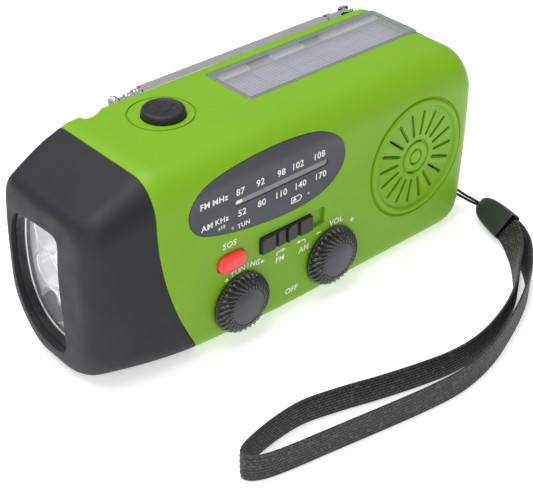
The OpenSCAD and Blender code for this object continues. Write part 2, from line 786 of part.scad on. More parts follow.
// Main board, battery and ferrite aerial
module main_board() {
    x1 = speaker_x - speaker_r - 1;
    color("darkgreen") difference() {
        box(tip_x + 24, board_y, wall + 3, x1, board_y + board_t, body_h - wall - 7);
        rod_y(knob_x1, knob_z, shaft_r + 0.4, board_y - cut, board_y + board_t + cut);
        screw_bores(post_out_r + 0.4, board_y - cut, board_y + board_t + cut);
    }
}
module battery() {
    color("mediumblue") {
        rod_x(cell_y, cell_z, cell_r, cell_x0, cell_x0 + cell_len);
        rod_x(cell_y, cell_z, 2.4, cell_x0 + cell_len, cell_x0 + cell_len + 1);
    }
}
module battery_cradle() {
    color("darkslategray") difference() {
        box(cell_x0 - 1.6, cell_y - cell_r * 0.8, wall + 0.1,
            cell_x0 + cell_len + 2, cell_y + cell_r * 0.8, cell_z);
        rod_x(cell_y, cell_z, cell_r + 0.1, cell_x0 - 0.2, cell_x0 + cell_len + 1.2);
        screw_bores(post_out_r + 0.4, face_y, rear_y);
    }
}
module ferrite_rod() {
    color("dimgray") rod_x(0, ferrite_z, 3.8, mid_x - 14, mid_x + 34);
}
module ferrite_coil() {
    color("sandybrown") difference() {
        rod_x(0, ferrite_z, 4.5, mid_x + 4, mid_x + 20);
        rod_x(0, ferrite_z, 3.82, mid_x, mid_x + 30);
    }
}

// Dynamo and gears
module gear(x, z, teeth, y0, y1, turn) {
    r = gear_m * teeth / 2;
    step = 360 / teeth;
    tip = r + 0.72 * gear_m;
    root = r - 1.05 * gear_m;
    pts = [for (k = [0:teeth - 1]) for (c = [[-0.29, root], [-0.10, tip], [0.10, tip], [0.29, root]])
        [c[1] * cos((k + c[0]) * step + turn), c[1] * sin((k + c[0]) * step + turn)]];
    along_y(y0, y1 - y0) translate([x, z]) polygon(pts);
}
module plate(y) {
    along_y(y, plate_t) outline(plate_x0, crank_z - pillar_drop - 2, plate_x1, crank_z + 13, [3, 3, 3, 3]);
}
module gear_plates() {
    color("silver") {
        difference() {
            plate(plate1_y);
            rod_y(crank_x, crank_z, crank_shaft_r * 0.6 + run_gap, plate1_y - cut, plate1_y + plate_t + cut);
            rod_y(mid_x, crank_z, axle_r, plate1_y - cut, plate1_y + plate_t + cut);
            rod_y(dyn_x, dyn_z, 2.2, plate1_y - cut, plate1_y + plate_t + cut);
        }
        difference() {
            plate(plate2_y);
            rod_y(crank_x, crank_z, crank_shaft_r + run_gap, plate2_y - cut, plate2_y + plate_t + cut);
            rod_y(mid_x, crank_z, axle_r, plate2_y - cut, plate2_y + plate_t + cut);
        }
        for (p = pillars) rod_y(p[0], p[1], pillar_r, plate1_y + plate_t, plate2_y);
    }
}
module drive_gear() {
    color("white") difference() {
        gear(crank_x, crank_z, gear_teeth, high_y, high_y + gear_t, 0);
        rod_y(crank_x, crank_z, crank_shaft_r, high_y - cut, high_y + gear_t + cut);
    }
}
module reduction_gear() {
    color("ivory") difference() {
        union() {
            gear(mid_x, crank_z, pinion_teeth, high_y - 0.6, high_y + gear_t, pinion_step / 2);
            gear(mid_x, crank_z, gear_teeth, low_y, low_y + gear_t, dyn_dir);
        }
        rod_y(mid_x, crank_z, axle_r + run_gap, low_y - cut, high_y + gear_t + cut);
    }
}
module reduction_axle() {
    color("silver") rod_y(mid_x, crank_z, axle_r, plate1_y, plate2_y + plate_t);
}
module dynamo_pinion() {
    color("gold") {
        difference() {
            gear(dyn_x, dyn_z, pinion_teeth, low_y, low_y + gear_t, dyn_dir + 180 + pinion_step / 2);
            rod_y(dyn_x, dyn_z, dyn_shaft_r * 0.5, low_y - cut, low_y + gear_t / 2);
        }
        rod_y(dyn_x, dyn_z, dyn_shaft_r, plate1_y - dyn_len + 3, low_y + 0.1);
        rod_y(dyn_x, dyn_z, dynamo_r - 3, plate1_y - dyn_len + 3, plate1_y - 3);
    }
}
module dynamo_can() {
    color("gray") difference() {
        rod_y(dyn_x, dyn_z, dynamo_r, plate1_y - dyn_len, plate1_y);
        rod_y(dyn_x, dyn_z, dynamo_r - 1.4, plate1_y - dyn_len + 1.4, plate1_y - 1.4);
        rod_y(dyn_x, dyn_z, dyn_shaft_r + run_gap, plate1_y - dyn_len + 1, plate1_y + cut);
    }
}

// Crank
module crank_shaft() {
    color("silver") {
        rod_y(crank_x, crank_z, crank_shaft_r, plate1_y + plate_t + 0.2, arm_y + 2);
        rod_y(crank_x, crank_z, crank_shaft_r * 0.6, plate1_y, plate1_y + 3);
    }
}
module crank_arm() {
    y1 = arm_y + arm_t;
    slot_x = handle_x + grip_len + 1.4;
    color("yellowgreen") difference() {
        along_y(arm_y, arm_t) hull() {
            translate([crank_x, crank_z]) circle(arm_w / 2 + 1);
            translate([handle_x, crank_z]) circle(arm_w / 2);
        }
        rod_y(crank_x, crank_z, crank_shaft_r, arm_y - cut, arm_y + 2);
        box(handle_x - arm_w, arm_y - cut, crank_z - grip_slot_w / 2, slot_x, y1 + cut,
            crank_z + grip_slot_w / 2);
        rod_z(handle_x, arm_y + arm_t / 2, handle_pin_r + run_gap, crank_z - arm_w, crank_z + arm_w);
    }
}
module handle_spindle() {
    y = arm_y + arm_t / 2;
    color("silver") {
        rod_z(handle_x, y, handle_pin_r, crank_z - arm_w / 2 + 0.4, crank_z + arm_w / 2 - 0.4);
        rod_z(handle_x, y, arm_t / 2 - 0.2,
            crank_z - grip_slot_w / 2 + 0.3, crank_z + grip_slot_w / 2 - 0.3);
        rod_x(y, crank_z, spindle_r, handle_x, handle_x + grip_len);
        rod_x(y, crank_z, grip_r - 0.7, handle_x + grip_len - 1.2, handle_x + grip_len);
    }
}
module crank_handle() {
    y = arm_y + arm_t / 2;
    x0 = handle_x + arm_t / 2 + 0.2;
    x1 = handle_x + grip_len - 1.4;
    color("black") difference() {
        union() {
            rod_x(y, crank_z, grip_r - 0.5, x0, x1);
            rod_x(y, crank_z, grip_r, x0 + 1, x1 - 1);
        }
        rod_x(y, crank_z, spindle_r + run_gap, x0 - cut, x1 + cut);
    }
}

// Ports
module usb_board() {
    color("darkgreen")
        box(usb_board_x, port_y - 9, port_z - 13, usb_board_x + board_t, port_y + 9, port_z + 13);
}
module usb_ports() {
    x0 = usb_board_x + board_t;
    x1 = tail_x - wall + 0.2;
    color("white") box(x1 - 5, port_y - 5.4, port_z + 4.6, x1 - 0.4, port_y + 5.4, port_z + 6.2);
    color("silver") {
        difference() {
            along_x(x0, x1 - x0) translate([port_y, port_z + 4.4]) round_rect(13.2, 5.8, 0.6);
            along_x(x1 - 4.6, 6) translate([port_y, port_z + 4.4]) round_rect(12.4, 5, 0.4);
        }
        difference() {
            along_x(x0, x1 - x0) translate([port_y, port_z - 5.6]) round_rect(7.8, 3, 0.8);
            along_x(x1 - 3, 4) translate([port_y, port_z - 5.6]) round_rect(7.1, 2.3, 0.5);
        }
    }
}
module port_cover() {
    half = port_w / 2 - part_gap;
    low = port_z - port_h / 2 + part_gap;
    color("dimgray") {
        along_x(tail_x - cover_t + 0.1, cover_t - 0.2) {
            outline(port_y - half, low, port_y + half, port_hinge_z - 1.6, [1.3, 1.3, 0.4, 0.4]);
            outline(port_y - half + 0.8, low + 2, port_y + half - 0.8, port_hinge_z, [0.4, 0.4, 0.4, 0.4]);
        }
        rod_y(tail_x - cover_t / 2, port_hinge_z, cover_t / 2, port_y - half + 0.8, port_y + half - 0.8);
    }
}

// Telescopic antenna
module antenna_base() {
    color("silver") {
        rod_z(ant_pivot_x, ant_y, post_pin_r, ant_foot_z - 6, ant_foot_z + 1.9);
        rod_z(ant_pivot_x, ant_y, knuckle_r - 0.2, ant_foot_z, ant_foot_z + 0.4);
    }
}
module antenna_knuckle() {
    z0 = ant_foot_z + 0.45;
    color("silver") {
        difference() {
            rod_z(ant_pivot_x, ant_y, knuckle_r, z0, ant_z + 1.7);
            rod_z(ant_pivot_x, ant_y, post_pin_r + run_gap, z0 - cut, z0 + 1.6);
            box(ant_pivot_x - 4, ant_y - tongue_t / 2 - 0.1, z0 + 1.65,
                ant_pivot_x + 4, ant_y + tongue_t / 2 + 0.1,
                ant_z + 4);
        }
        rod_y(ant_pivot_x, ant_z, tilt_pin_r, ant_y - 2, ant_y + 2);
    }
}
function tube_r(k) = ant_r - k * (ant_wall + 0.06);
module tube(k) {
    x0 = ant_right - ant_len - k * tube_step;
    x1 = ant_right - k * 2.4;
    r = tube_r(k);
    color("silver") difference() {
        rod_x(ant_y, ant_z, r, x0, x1);
        rod_x(ant_y, ant_z, r - ant_wall, x0 - cut, k == 0 ? x1 - 2 : x1 + cut);
    }
}
module antenna_tube_1() {
    tube(0);
    color("silver") difference() {
        union() {
            rod_x(ant_y, ant_z, ant_r - 0.5, ant_right, ant_pivot_x - 3);
            rod_x(ant_y, ant_z, ant_r, ant_right + 2, ant_right + 3.6);
            intersection() {
                union() {
                    rod_x(ant_y, ant_z, ant_r - 0.5, ant_pivot_x - 4, ant_pivot_x);
                    rod_y(ant_pivot_x, ant_z, ant_r - 0.5, ant_y - 2, ant_y + 2);
                }
                box(ant_pivot_x - 5, ant_y - tongue_t / 2, 0,
                ant_pivot_x + 4, ant_y + tongue_t / 2, body_h + 9);
            }
        }
        rod_y(ant_pivot_x, ant_z, tilt_pin_r + run_gap, ant_y - 3, ant_y + 3);
    }
}
module antenna_tube_2() { tube(1); }
module antenna_tube_3() { tube(2); }
module antenna_rod() {
    x0 = ant_right - ant_len - 3 * tube_step;
    color("silver") {
        rod_x(ant_y, ant_z, tube_r(3), x0, ant_right - 7.2);
        rod_x(ant_y, ant_z, ant_r, x0 - 1.8, x0);
    }
}

// Wrist strap
function sub3(a, b) = [a[0] - b[0], a[1] - b[1], a[2] - b[2]];
function unit(v) = v / norm(v);
function tangent(p, i) = unit(sub3(p[min(i + 1, len(p) - 1)], p[max(i - 1, 0)]));
function across(t) = unit([t[1], -t[0], 0]);
function upward(t) = cross(across(t), t);
function round_ring(p, i, r, sides) = let (t = tangent(p, i), a = across(t), u = upward(t))
    [for (k = [0:sides - 1]) [p[i][0], p[i][1], p[i][2]]
        + r * cos(360 * k / sides) * a + r * sin(360 * k / sides) * u];
function flat_ring(p, i, w, t0) = let (t = tangent(p, i), a = across(t), u = upward(t), lean = p[i][3],
        wide = cos(lean) * u + sin(lean) * a, thin = cos(lean) * a - sin(lean) * u)
    [for (c = [[-1, -1], [1, -1], [1, 1], [-1, 1]])
        [p[i][0], p[i][1], p[i][2]] + c[0] * t0 / 2 * thin + c[1] * w / 2 * wide];
module skin(rings) {
    n = len(rings[0]);
    m = len(rings);
    points = [for (r = rings) for (p = r) p];
    sides = [for (i = [0:m - 2]) for (k = [0:n - 1])
        [i * n + k, i * n + (k + 1) % n, (i + 1) * n + (k + 1) % n, (i + 1) * n + k]];
    polyhedron(points, concat(sides, [[for (k = [n - 1:-1:0]) k]], [[for (k = [0:n - 1]) (m - 1) * n + k]]));
}
module strap_cord() {
    color("black") skin([for (i = [0:len(cord_route) - 1]) round_ring(cord_route, i, cord_r, 8)]);
}
module strap_webbing() {
    color("black") skin([for (i = [0:len(web_route) - 1]) flat_ring(web_route, i, web_w, web_t)]);
}
module strap_ferrule() {
    a = ferrule_from;
    b = ferrule_to;
    color("dimgray") hull() {
        translate(a) sphere(2.2, $fn = 24);
        translate(b + [1.5, -0.3, 1.8]) sphere(2, $fn = 24);
        translate(b + [-1.5, 0.3, -1.8]) sphere(2, $fn = 24);
    }
}

front_shell();
rear_cover();
nose_cap();
torch_lens();
reflector();
torch_leds();
torch_board();
solar_cover();
solar_cell();
light_button();
light_switch();
light_board();
dial_window();
dial_slot_lens();
dial_back();
dial_pointer();
dial_cord();
cord_posts();
tuning_knob();
tuning_shaft();
tuning_drum();
tuning_capacitor();
volume_knob();
volume_shaft();
volume_control();
band_slider();
band_switch();
sos_button();
sos_switch();
speaker_frame();
speaker_cone();
speaker_magnet();
main_board();
battery();
battery_cradle();
ferrite_rod();
ferrite_coil();
gear_plates();
drive_gear();
reduction_gear();
reduction_axle();
dynamo_pinion();
dynamo_can();
crank_shaft();
crank_arm();
handle_spindle();
crank_handle();
usb_board();
usb_ports();
port_cover();
antenna_base();
antenna_knuckle();
antenna_tube_1();
antenna_tube_2();
antenna_tube_3();
antenna_rod();
housing_screws();
strap_cord();
strap_ferrule();
strap_webbing();
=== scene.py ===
# Visual model of a pocket emergency radio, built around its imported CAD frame.
import math

import bmesh
import bpy
import numpy as np
from mathutils import Matrix, Vector
from mathutils.bvhtree import BVHTree


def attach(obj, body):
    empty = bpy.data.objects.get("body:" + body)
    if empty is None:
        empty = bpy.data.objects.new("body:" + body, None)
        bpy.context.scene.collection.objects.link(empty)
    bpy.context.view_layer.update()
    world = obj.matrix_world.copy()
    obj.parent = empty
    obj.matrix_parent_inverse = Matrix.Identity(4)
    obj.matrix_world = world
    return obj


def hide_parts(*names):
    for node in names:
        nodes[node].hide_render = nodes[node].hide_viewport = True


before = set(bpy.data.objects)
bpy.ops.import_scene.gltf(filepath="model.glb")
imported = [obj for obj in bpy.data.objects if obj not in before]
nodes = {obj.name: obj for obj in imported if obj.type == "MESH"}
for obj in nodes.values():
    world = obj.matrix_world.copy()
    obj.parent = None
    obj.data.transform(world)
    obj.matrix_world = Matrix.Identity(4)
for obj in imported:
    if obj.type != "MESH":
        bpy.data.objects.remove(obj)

scene = bpy.context.scene
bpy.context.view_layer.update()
MM = 0.001
TAU = 2 * math.pi

# ---------------------------------------------------------------- camera
CAM_AZ, CAM_EL, CAM_DIST = math.radians(-41.01), math.radians(31.6), 0.38006
look_at = Vector((0.004, 0.0, 0.030))
away = Vector((math.sin(CAM_AZ) * math.cos(CAM_EL), -math.cos(CAM_AZ) * math.cos(CAM_EL), math.sin(CAM_EL)))
cam = bpy.data.objects.new("camera", bpy.data.cameras.new("camera"))
scene.collection.objects.link(cam)
cam.location = look_at + away * CAM_DIST
cam.rotation_euler = (-away).to_track_quat("-Z", "Y").to_euler()
cam.data.sensor_width = 36
cam.data.lens = 91.66
cam.data.shift_x = 0.0069
cam.data.shift_y = -0.1342
cam.data.clip_start = 0.01
scene.camera = cam


# ---------------------------------------------------------------- materials
def nodes_of(name):
    m = bpy.data.materials.new(name)
    m.use_nodes = True
    t = m.node_tree
    return m, t, t.nodes["Principled BSDF"]


def node(t, kind, **values):
    n = t.nodes.new(kind)
    for k, v in values.items():
        if k in n.inputs:
            n.inputs[k].default_value = v
        else:
            setattr(n, k, v)
    return n


def noise(t, size_mm, detail=4.0, rough=0.55, stretch=None):
    """A noise whose blotches are size_mm across."""
    src = node(t, "ShaderNodeTexCoord").outputs["Object"]
    if stretch:
        mp = node(t, "ShaderNodeMapping")
        mp.inputs["Scale"].default_value = stretch
        t.links.new(src, mp.inputs["Vector"])
        src = mp.outputs["Vector"]
    n = node(t, "ShaderNodeTexNoise", Scale=1000.0 / size_mm, Detail=detail, Roughness=rough)
    t.links.new(src, n.inputs["Vector"])
    return n.outputs["Fac"]


def ramp(t, fac, low, high, a, b):
    r = node(t, "ShaderNodeMapRange")
    r.inputs["From Min"].default_value = low
    r.inputs["From Max"].default_value = high
    r.inputs["To Min"].default_value = a
    r.inputs["To Max"].default_value = b
    t.links.new(fac, r.inputs["Value"])
    return r.outputs["Result"]


def mix_rgb(t, fac, a, b):
    m = node(t, "ShaderNodeMix", data_type="RGBA")
    for sock, v in ((m.inputs[6], a), (m.inputs[7], b)):
        if isinstance(v, bpy.types.NodeSocket):
            t.links.new(v, sock)
        else:
            sock.default_value = (*v, 1)
    if isinstance(fac, bpy.types.NodeSocket):
        t.links.new(fac, m.inputs[0])
    else:
        m.inputs[0].default_value = fac
    return m.outputs[2]


def bump_chain(t, bsdf, layers, bevel_mm=0.25):
    """Layers of (height socket, distance in mm, strength), over a small rounding of sharp edges."""
    last = None
    if bevel_mm:
        bv = node(t, "ShaderNodeBevel", samples=4)
        bv.inputs["Radius"].default_value = bevel_mm * MM
        last = bv.outputs["Normal"]
    for h, dist, strength in layers:
        b = node(t, "ShaderNodeBump", Strength=strength, Distance=dist * MM)
        t.links.new(h, b.inputs["Height"])
        if last:
            t.links.new(last, b.inputs["Normal"])
        last = b.outputs["Normal"]
    if last:
        t.links.new(last, bsdf.inputs["Normal"])


def plastic(name, rgb, rough, spread=0.06, tone=0.05, grain_mm=0.35, grain=0.12, bevel=0.25, spec=0.5,
            coat=0.0, wear=0.0):
    """Moulded plastic: slow tone drift, fine spark-eroded grain, faint moulding waves, worn edges."""
    m, t, b = nodes_of(name)
    slow = noise(t, 38, 3)
    fine = noise(t, grain_mm, 2, 0.6)
    mid = noise(t, 5.5, 4)
    dark = tuple(c * (1 - tone) for c in rgb)
    light = tuple(min(1, c * (1 + tone)) for c in rgb)
    col = mix_rgb(t, ramp(t, slow, 0.3, 0.7, 0, 1), dark, light)
    col = mix_rgb(t, ramp(t, fine, 0.35, 0.75, 0, 0.10), col, tuple(c * 0.8 for c in rgb))
    if wear:
        geo = node(t, "ShaderNodeNewGeometry")
        edge = ramp(t, geo.outputs["Pointiness"], 0.52, 0.60, 0, wear)
        col = mix_rgb(t, edge, col, tuple(min(1, c * 1.6 + 0.02) for c in rgb))
    t.links.new(col, b.inputs["Base Color"])
    t.links.new(ramp(t, mid, 0.3, 0.7, rough - spread, rough + spread), b.inputs["Roughness"])
    b.inputs["Specular IOR Level"].default_value = spec
    b.inputs["Coat Weight"].default_value = coat
    b.inputs["Coat Roughness"].default_value = 0.12
    bump_chain(t, b, [(fine, 0.03, grain), (noise(t, 14, 1), 0.25, 0.10)], bevel)
    return m


def metal(name, rgb, rough, spread=0.05, brush=None, painted_side_shade=False, metallic=1.0, painted_glow=0.0):
    """Polished or brushed metal, with fine wipe marks and a little haze; optional painted shade darkens faces that look
    sideways or down, and an optional faint white glow paints light into the surface.
    """
    m, t, b = nodes_of(name)
    b.inputs["Metallic"].default_value = metallic
    # painted light: a faint white emission makes the metal glow though it is no lamp
    b.inputs["Emission Color"].default_value = (1, 1, 1, 1)
    b.inputs["Emission Strength"].default_value = painted_glow
    haze = noise(t, 6, 4)
    marks = noise(t, 0.5, 3, 0.6, stretch=brush or (1, 1, 1))
    col = mix_rgb(t, ramp(t, haze, 0.3, 0.7, 0, 1), tuple(c * 0.92 for c in rgb), rgb)
    if painted_side_shade:
        # painted shade: faces whose world normal looks sideways or down are mixed towards dark grey, so only the top
        # stays bright; the shade is keyed to world up and does not turn with the piece
        up = node(t, "ShaderNodeSeparateXYZ")
        t.links.new(node(t, "ShaderNodeNewGeometry").outputs["Normal"], up.inputs[0])
        col = mix_rgb(t, ramp(t, up.outputs["Z"], 0.1, 0.5, 0, 1), (0.16, 0.16, 0.17), col)
    t.links.new(col, b.inputs["Base Color"])
    t.links.new(ramp(t, marks, 0.3, 0.7, max(0.02, rough - spread), rough + spread), b.inputs["Roughness"])
    bump_chain(t, b, [(marks, 0.01, 0.12)], 0.08)
    return m


def clear(name, rgb, alpha, rough=0.05):
    """Clear plastic with a faint veil, fine hairlines and uneven gloss."""
    m, t, b = nodes_of(name)
    hair = noise(t, 1.2, 5, 0.7, stretch=(0.2, 1.6, 1))
    t.links.new(mix_rgb(t, ramp(t, noise(t, 9, 3), 0.3, 0.7, 0, 1), tuple(c * 0.93 for c in rgb), rgb),
                b.inputs["Base Color"])
    t.links.new(ramp(t, hair, 0.3, 0.75, rough, rough + 0.07), b.inputs["Roughness"])
    t.links.new(ramp(t, hair, 0.35, 0.8, alpha, alpha + 0.05), b.inputs["Alpha"])
    b.inputs["Specular IOR Level"].default_value = 0.9
    b.inputs["IOR"].default_value = 1.49
    bump_chain(t, b, [(noise(t, 16, 2), 0.05, 0.25)], 0.15)
    m.blend_method = "BLEND"
    return m


GREEN = plastic("green_satin", (0.190, 0.405, 0.006), 0.42, tone=0.035, grain=0.10, wear=0.15, spec=0.34)
CHARCOAL = plastic("charcoal_soft_touch", (0.0135, 0.0145, 0.0175), 0.56, tone=0.06, grain=0.25, spec=0.33, wear=0.12)
RUBBER = plastic("button_rubber", (0.014, 0.0155, 0.019), 0.50, tone=0.08, grain=0.3, spec=0.4, wear=0.25)
BLACK = plastic("black_gloss_plastic", (0.012, 0.012, 0.013), 0.24, spread=0.08, tone=0.1, grain=0.08, bevel=0.1)
KNOB = plastic("knob_gloss_plastic", (0.0075, 0.0075, 0.008), 0.17, spread=0.05, tone=0.1, grain=0.08,
               bevel=0.1, coat=0.5)
BLACK_SATIN = plastic("black_satin_plastic", (0.018, 0.018, 0.02), 0.42, tone=0.1, grain=0.2, bevel=0.15)
GREY = plastic("dial_grey_satin", (0.050, 0.054, 0.066), 0.36, tone=0.05, grain=0.10, bevel=0.1)
RED = plastic("red_button_plastic", (0.98, 0.045, 0.04), 0.30, tone=0.05, grain=0.08, coat=0.2)
RAIL = plastic("solar_rail_plastic", (0.27, 0.33, 0.24), 0.35, tone=0.08, grain=0.1, bevel=0.1)
PALE = plastic("pale_plastic", (0.62, 0.62, 0.59), 0.45, tone=0.05)
STRIP = plastic("dial_strip_plastic", (0.23, 0.26, 0.26), 0.35, tone=0.06, grain=0.1)
INK = plastic("white_print_ink", (0.86, 0.87, 0.86), 0.55, tone=0.03, grain_mm=0.25, grain=0.25, bevel=0)
BOARD = plastic("circuit_board", (0.02, 0.13, 0.05), 0.35, tone=0.12)
STEEL = metal("brushed_steel", (0.56, 0.56, 0.57), 0.30, brush=(0.15, 1.5, 1.5))
# chrome with painted shade: its sideways and downward faces are darkened
CHROME = metal("chrome_tube", (0.93, 0.93, 0.95), 0.07, spread=0.04, brush=(0.1, 2, 2), painted_side_shade=True)
# painted light: the reflector chrome glows faintly white though it is no lamp; the torch lens ring uses it too
MIRROR = metal("reflector_chrome", (0.95, 0.95, 0.97), 0.16, spread=0.06, metallic=0.7, painted_glow=0.10)
DARK_STEEL = plastic("dark_zinc", (0.10, 0.10, 0.11), 0.38, tone=0.12, spec=0.8)
BRASS = metal("brass", (0.68, 0.48, 0.20), 0.28)
COPPER = metal("copper_winding", (0.62, 0.28, 0.12), 0.35, brush=(6, 0.3, 0.3))
PAPER = plastic("paper_cone", (0.03, 0.03, 0.03), 0.85, tone=0.2, grain_mm=0.8, grain=0.5)
SLEEVE = plastic("cell_sleeve", (0.03, 0.10, 0.36), 0.25, tone=0.06, coat=0.3)
FERRITE = plastic("ferrite", (0.035, 0.035, 0.038), 0.6, tone=0.15, grain=0.5)
RESISTOR = plastic("resistor_board", (0.30, 0.17, 0.08), 0.4, tone=0.1)
FIBRE = plastic("black_cord_fibre", (0.012, 0.012, 0.013), 0.75, tone=0.2, grain_mm=0.25, grain=0.8)
FERRULE = plastic("ferrule_plastic", (0.030, 0.033, 0.036), 0.32, tone=0.08, grain=0.15, wear=0.2)
CLEAR = clear("clear_cover", (0.80, 0.84, 0.90), 0.17)
LENS = clear("torch_lens_clear", (0.90, 0.92, 0.94), 0.10)
EPOXY = clear("led_epoxy", (0.95, 0.95, 0.90), 0.45, 0.08)


def silicon():
    """Solar cells: fine pale collector lines across blue-violet silicon, in separate strips."""
    m, t, b = nodes_of("solar_silicon")
    co = node(t, "ShaderNodeTexCoord")
    sep = node(t, "ShaderNodeSeparateXYZ")
    t.links.new(co.outputs["Object"], sep.inputs[0])

    def stripes(axis, pitch_mm, width):
        s = node(t, "ShaderNodeMath", operation="MULTIPLY")
        s.inputs[1].default_value = 1000.0 / pitch_mm
        t.links.new(sep.outputs[axis], s.inputs[0])
        f = node(t, "ShaderNodeMath", operation="FRACT")
        t.links.new(s.outputs[0], f.inputs[0])
        c = node(t, "ShaderNodeMath", operation="LESS_THAN")
        c.inputs[1].default_value = width
        t.links.new(f.outputs[0], c.inputs[0])
        return c.outputs[0]

    tone = mix_rgb(t, ramp(t, noise(t, 12, 4), 0.3, 0.7, 0, 1), (0.115, 0.125, 0.185), (0.205, 0.185, 0.235))
    tone = mix_rgb(t, ramp(t, noise(t, 1.5, 3, stretch=(3, 0.2, 1)), 0.3, 0.7, 0, 0.5), tone, (0.16, 0.18, 0.24))
    fingers = ramp(t, stripes(0, 1.3, 0.22), 0, 1, 0, 0.45)
    col = mix_rgb(t, fingers, tone, (0.50, 0.51, 0.55))
    col = mix_rgb(t, ramp(t, stripes(0, 10.6, 0.04), 0, 1, 0, 0.7), col, (0.06, 0.065, 0.09))
    t.links.new(col, b.inputs["Base Color"])
    t.links.new(ramp(t, noise(t, 4, 3), 0.3, 0.7, 0.25, 0.42), b.inputs["Roughness"])
    bump_chain(t, b, [(fingers, 0.02, 0.4)], 0.1)
    return m


SILICON = silicon()


def webbing_material():
    """Black woven polypropylene: painted shade darkens the gaps between yarns and lightens the raised ribs, with
    painted glints from a fine noise.
    """
    m, t, b = nodes_of("webbing_weave")
    fine = noise(t, 0.22, 3, 0.7)
    weave = node(t, "ShaderNodeAttribute", attribute_name="weave").outputs["Fac"]
    # painted shade and highlight: near black where the weave relief is low, lighter where it is high
    col = mix_rgb(t, ramp(t, weave, 0.35, 0.95, 0, 1), (0.002, 0.002, 0.0022), (0.032, 0.032, 0.035))
    # painted highlight: scattered pale glints from a noise
    painted_glint = ramp(t, noise(t, 0.9, 2, 0.7), 0.52, 0.70, 0, 0.55)
    col = mix_rgb(t, painted_glint, col, (0.13, 0.13, 0.135))
    t.links.new(col, b.inputs["Base Color"])
    t.links.new(ramp(t, fine, 0.3, 0.7, 0.38, 0.62), b.inputs["Roughness"])
    b.inputs["Sheen Weight"].default_value = 0.08
    b.inputs["Sheen Roughness"].default_value = 0.4
    bump_chain(t, b, [(fine, 0.05, 0.5)], 0)
    return m


WEBBING = webbing_material()


# ---------------------------------------------------------------- mesh helpers (all in millimetres)
def shade(ob, angle=35):
    me = ob.data
    me.polygons.foreach_set("use_smooth", [True] * len(me.polygons))
    me.set_sharp_from_angle(angle=math.radians(angle))
    return ob


def solid(name, verts, faces, angle=35):
    me = bpy.data.meshes.new(name)
    me.from_pydata([tuple(float(c) * MM for c in v) for v in verts], [], [tuple(f) for f in faces])
    bm = bmesh.new()
    bm.from_mesh(me)
    bmesh.ops.recalc_face_normals(bm, faces=bm.faces)
    bm.to_mesh(me)
    bm.free()
    me.update()
    ob = bpy.data.objects.new(name, me)
    scene.collection.objects.link(ob)
    return shade(ob, angle)


def loft(rings):
    """Closed mesh through rings of equal length, capped at both ends."""
    n, m = len(rings[0]), len(rings)
    verts = [p for r in rings for p in r]
    faces = [(i * n + k, i * n + (k + 1) % n, (i + 1) * n + (k + 1) % n, (i + 1) * n + k)
             for i in range(m - 1) for k in range(n)]
    faces += [tuple(range(n - 1, -1, -1)), tuple((m - 1) * n + k for k in range(n))]
    return verts, faces


def circle(cx, cz, r, n=64, a0=0.0, a1=TAU):
    full = abs(a1 - a0 - TAU) < 1e-9
    return [(cx + r * math.cos(a0 + (a1 - a0) * k / (n if full else n - 1)),
             cz + r * math.sin(a0 + (a1 - a0) * k / (n if full else n - 1))) for k in range(n)]


def round_rect(x0, z0, x1, z1, r, n=8):
    r = min(r, (x1 - x0) / 2 - 1e-3, (z1 - z0) / 2 - 1e-3)
    out = []
    for cx, cz, a in ((x1 - r, z1 - r, 0), (x0 + r, z1 - r, 90), (x0 + r, z0 + r, 180), (x1 - r, z0 + r, 270)):
        out += circle(cx, cz, r, n, math.radians(a), math.radians(a + 90))
    return out


def prism(axis, outline, a, b, name="cutter", edge=0.0):
    """An outline swept along an axis, with a small chamfer at both ends if edge is given."""
    c = np.mean(np.array(outline), axis=0)

    def at(t, inset):
        ring = []
        for p, q in outline:
            d = math.hypot(p - c[0], q - c[1]) or 1
            k = (d - inset) / d
            p, q = c[0] + (p - c[0]) * k, c[1] + (q - c[1]) * k
            ring.append({"x": (t, p, q), "y": (p, t, q), "z": (p, q, t)}[axis])
        return ring

    rings = [at(a, edge), at(a + edge, 0), at(b - edge, 0), at(b, edge)] if edge else [at(a, 0), at(b, 0)]
    v, f = loft(rings)
    return solid(name, v, f)


def revolve(axis, centre, profile, n=96):
    """profile is a closed outline of (radius, along the axis) points."""
    verts, m = [], len(profile)
    for k in range(n):
        a = TAU * k / n
        for r, t in profile:
            p, q = r * math.cos(a), r * math.sin(a)
            verts.append({"x": (centre[0] + t, centre[1] + p, centre[2] + q),
                          "y": (centre[0] + p, centre[1] + t, centre[2] + q),
                          "z": (centre[0] + p, centre[1] + q, centre[2] + t)}[axis])
    faces = [(k * m + i, k * m + (i + 1) % m, ((k + 1) % n) * m + (i + 1) % m, ((k + 1) % n) * m + i)
             for k in range(n) for i in range(m)]
    return solid("ring", verts, faces)


def box(x0, y0, z0, x1, y1, z1):
    return prism("z", [(x0, y0), (x1, y0), (x1, y1), (x0, y1)], z0, z1)


def join(name, objs):
    bm = bmesh.new()
    for o in objs:
        bm.from_mesh(o.data)
    me = bpy.data.meshes.new(name)
    bm.to_mesh(me)
    bm.free()
    ob = bpy.data.objects.new(name, me)
    scene.collection.objects.link(ob)
    for o in objs:
        bpy.data.objects.remove(o)
    return shade(ob)


def boolean(ob, cutter, op="DIFFERENCE", keep=False):
    m = ob.modifiers.new("b", "BOOLEAN")
    m.operation = op
    m.solver = "MANIFOLD"
    m.object = cutter
    dg = bpy.context.evaluated_depsgraph_get()
    new = bpy.data.meshes.new_from_object(ob.evaluated_get(dg))
    ob.modifiers.clear()
    old = ob.data
    ob.data = new
    bpy.data.meshes.remove(old)
    if not keep:
        bpy.data.objects.remove(cutter)
    return ob


def cut(ob, *cutters):
    for c in cutters:
        boolean(ob, c)
    return ob


def add(ob, *others):
    for o in others:
        boolean(ob, o, "UNION")
    return ob


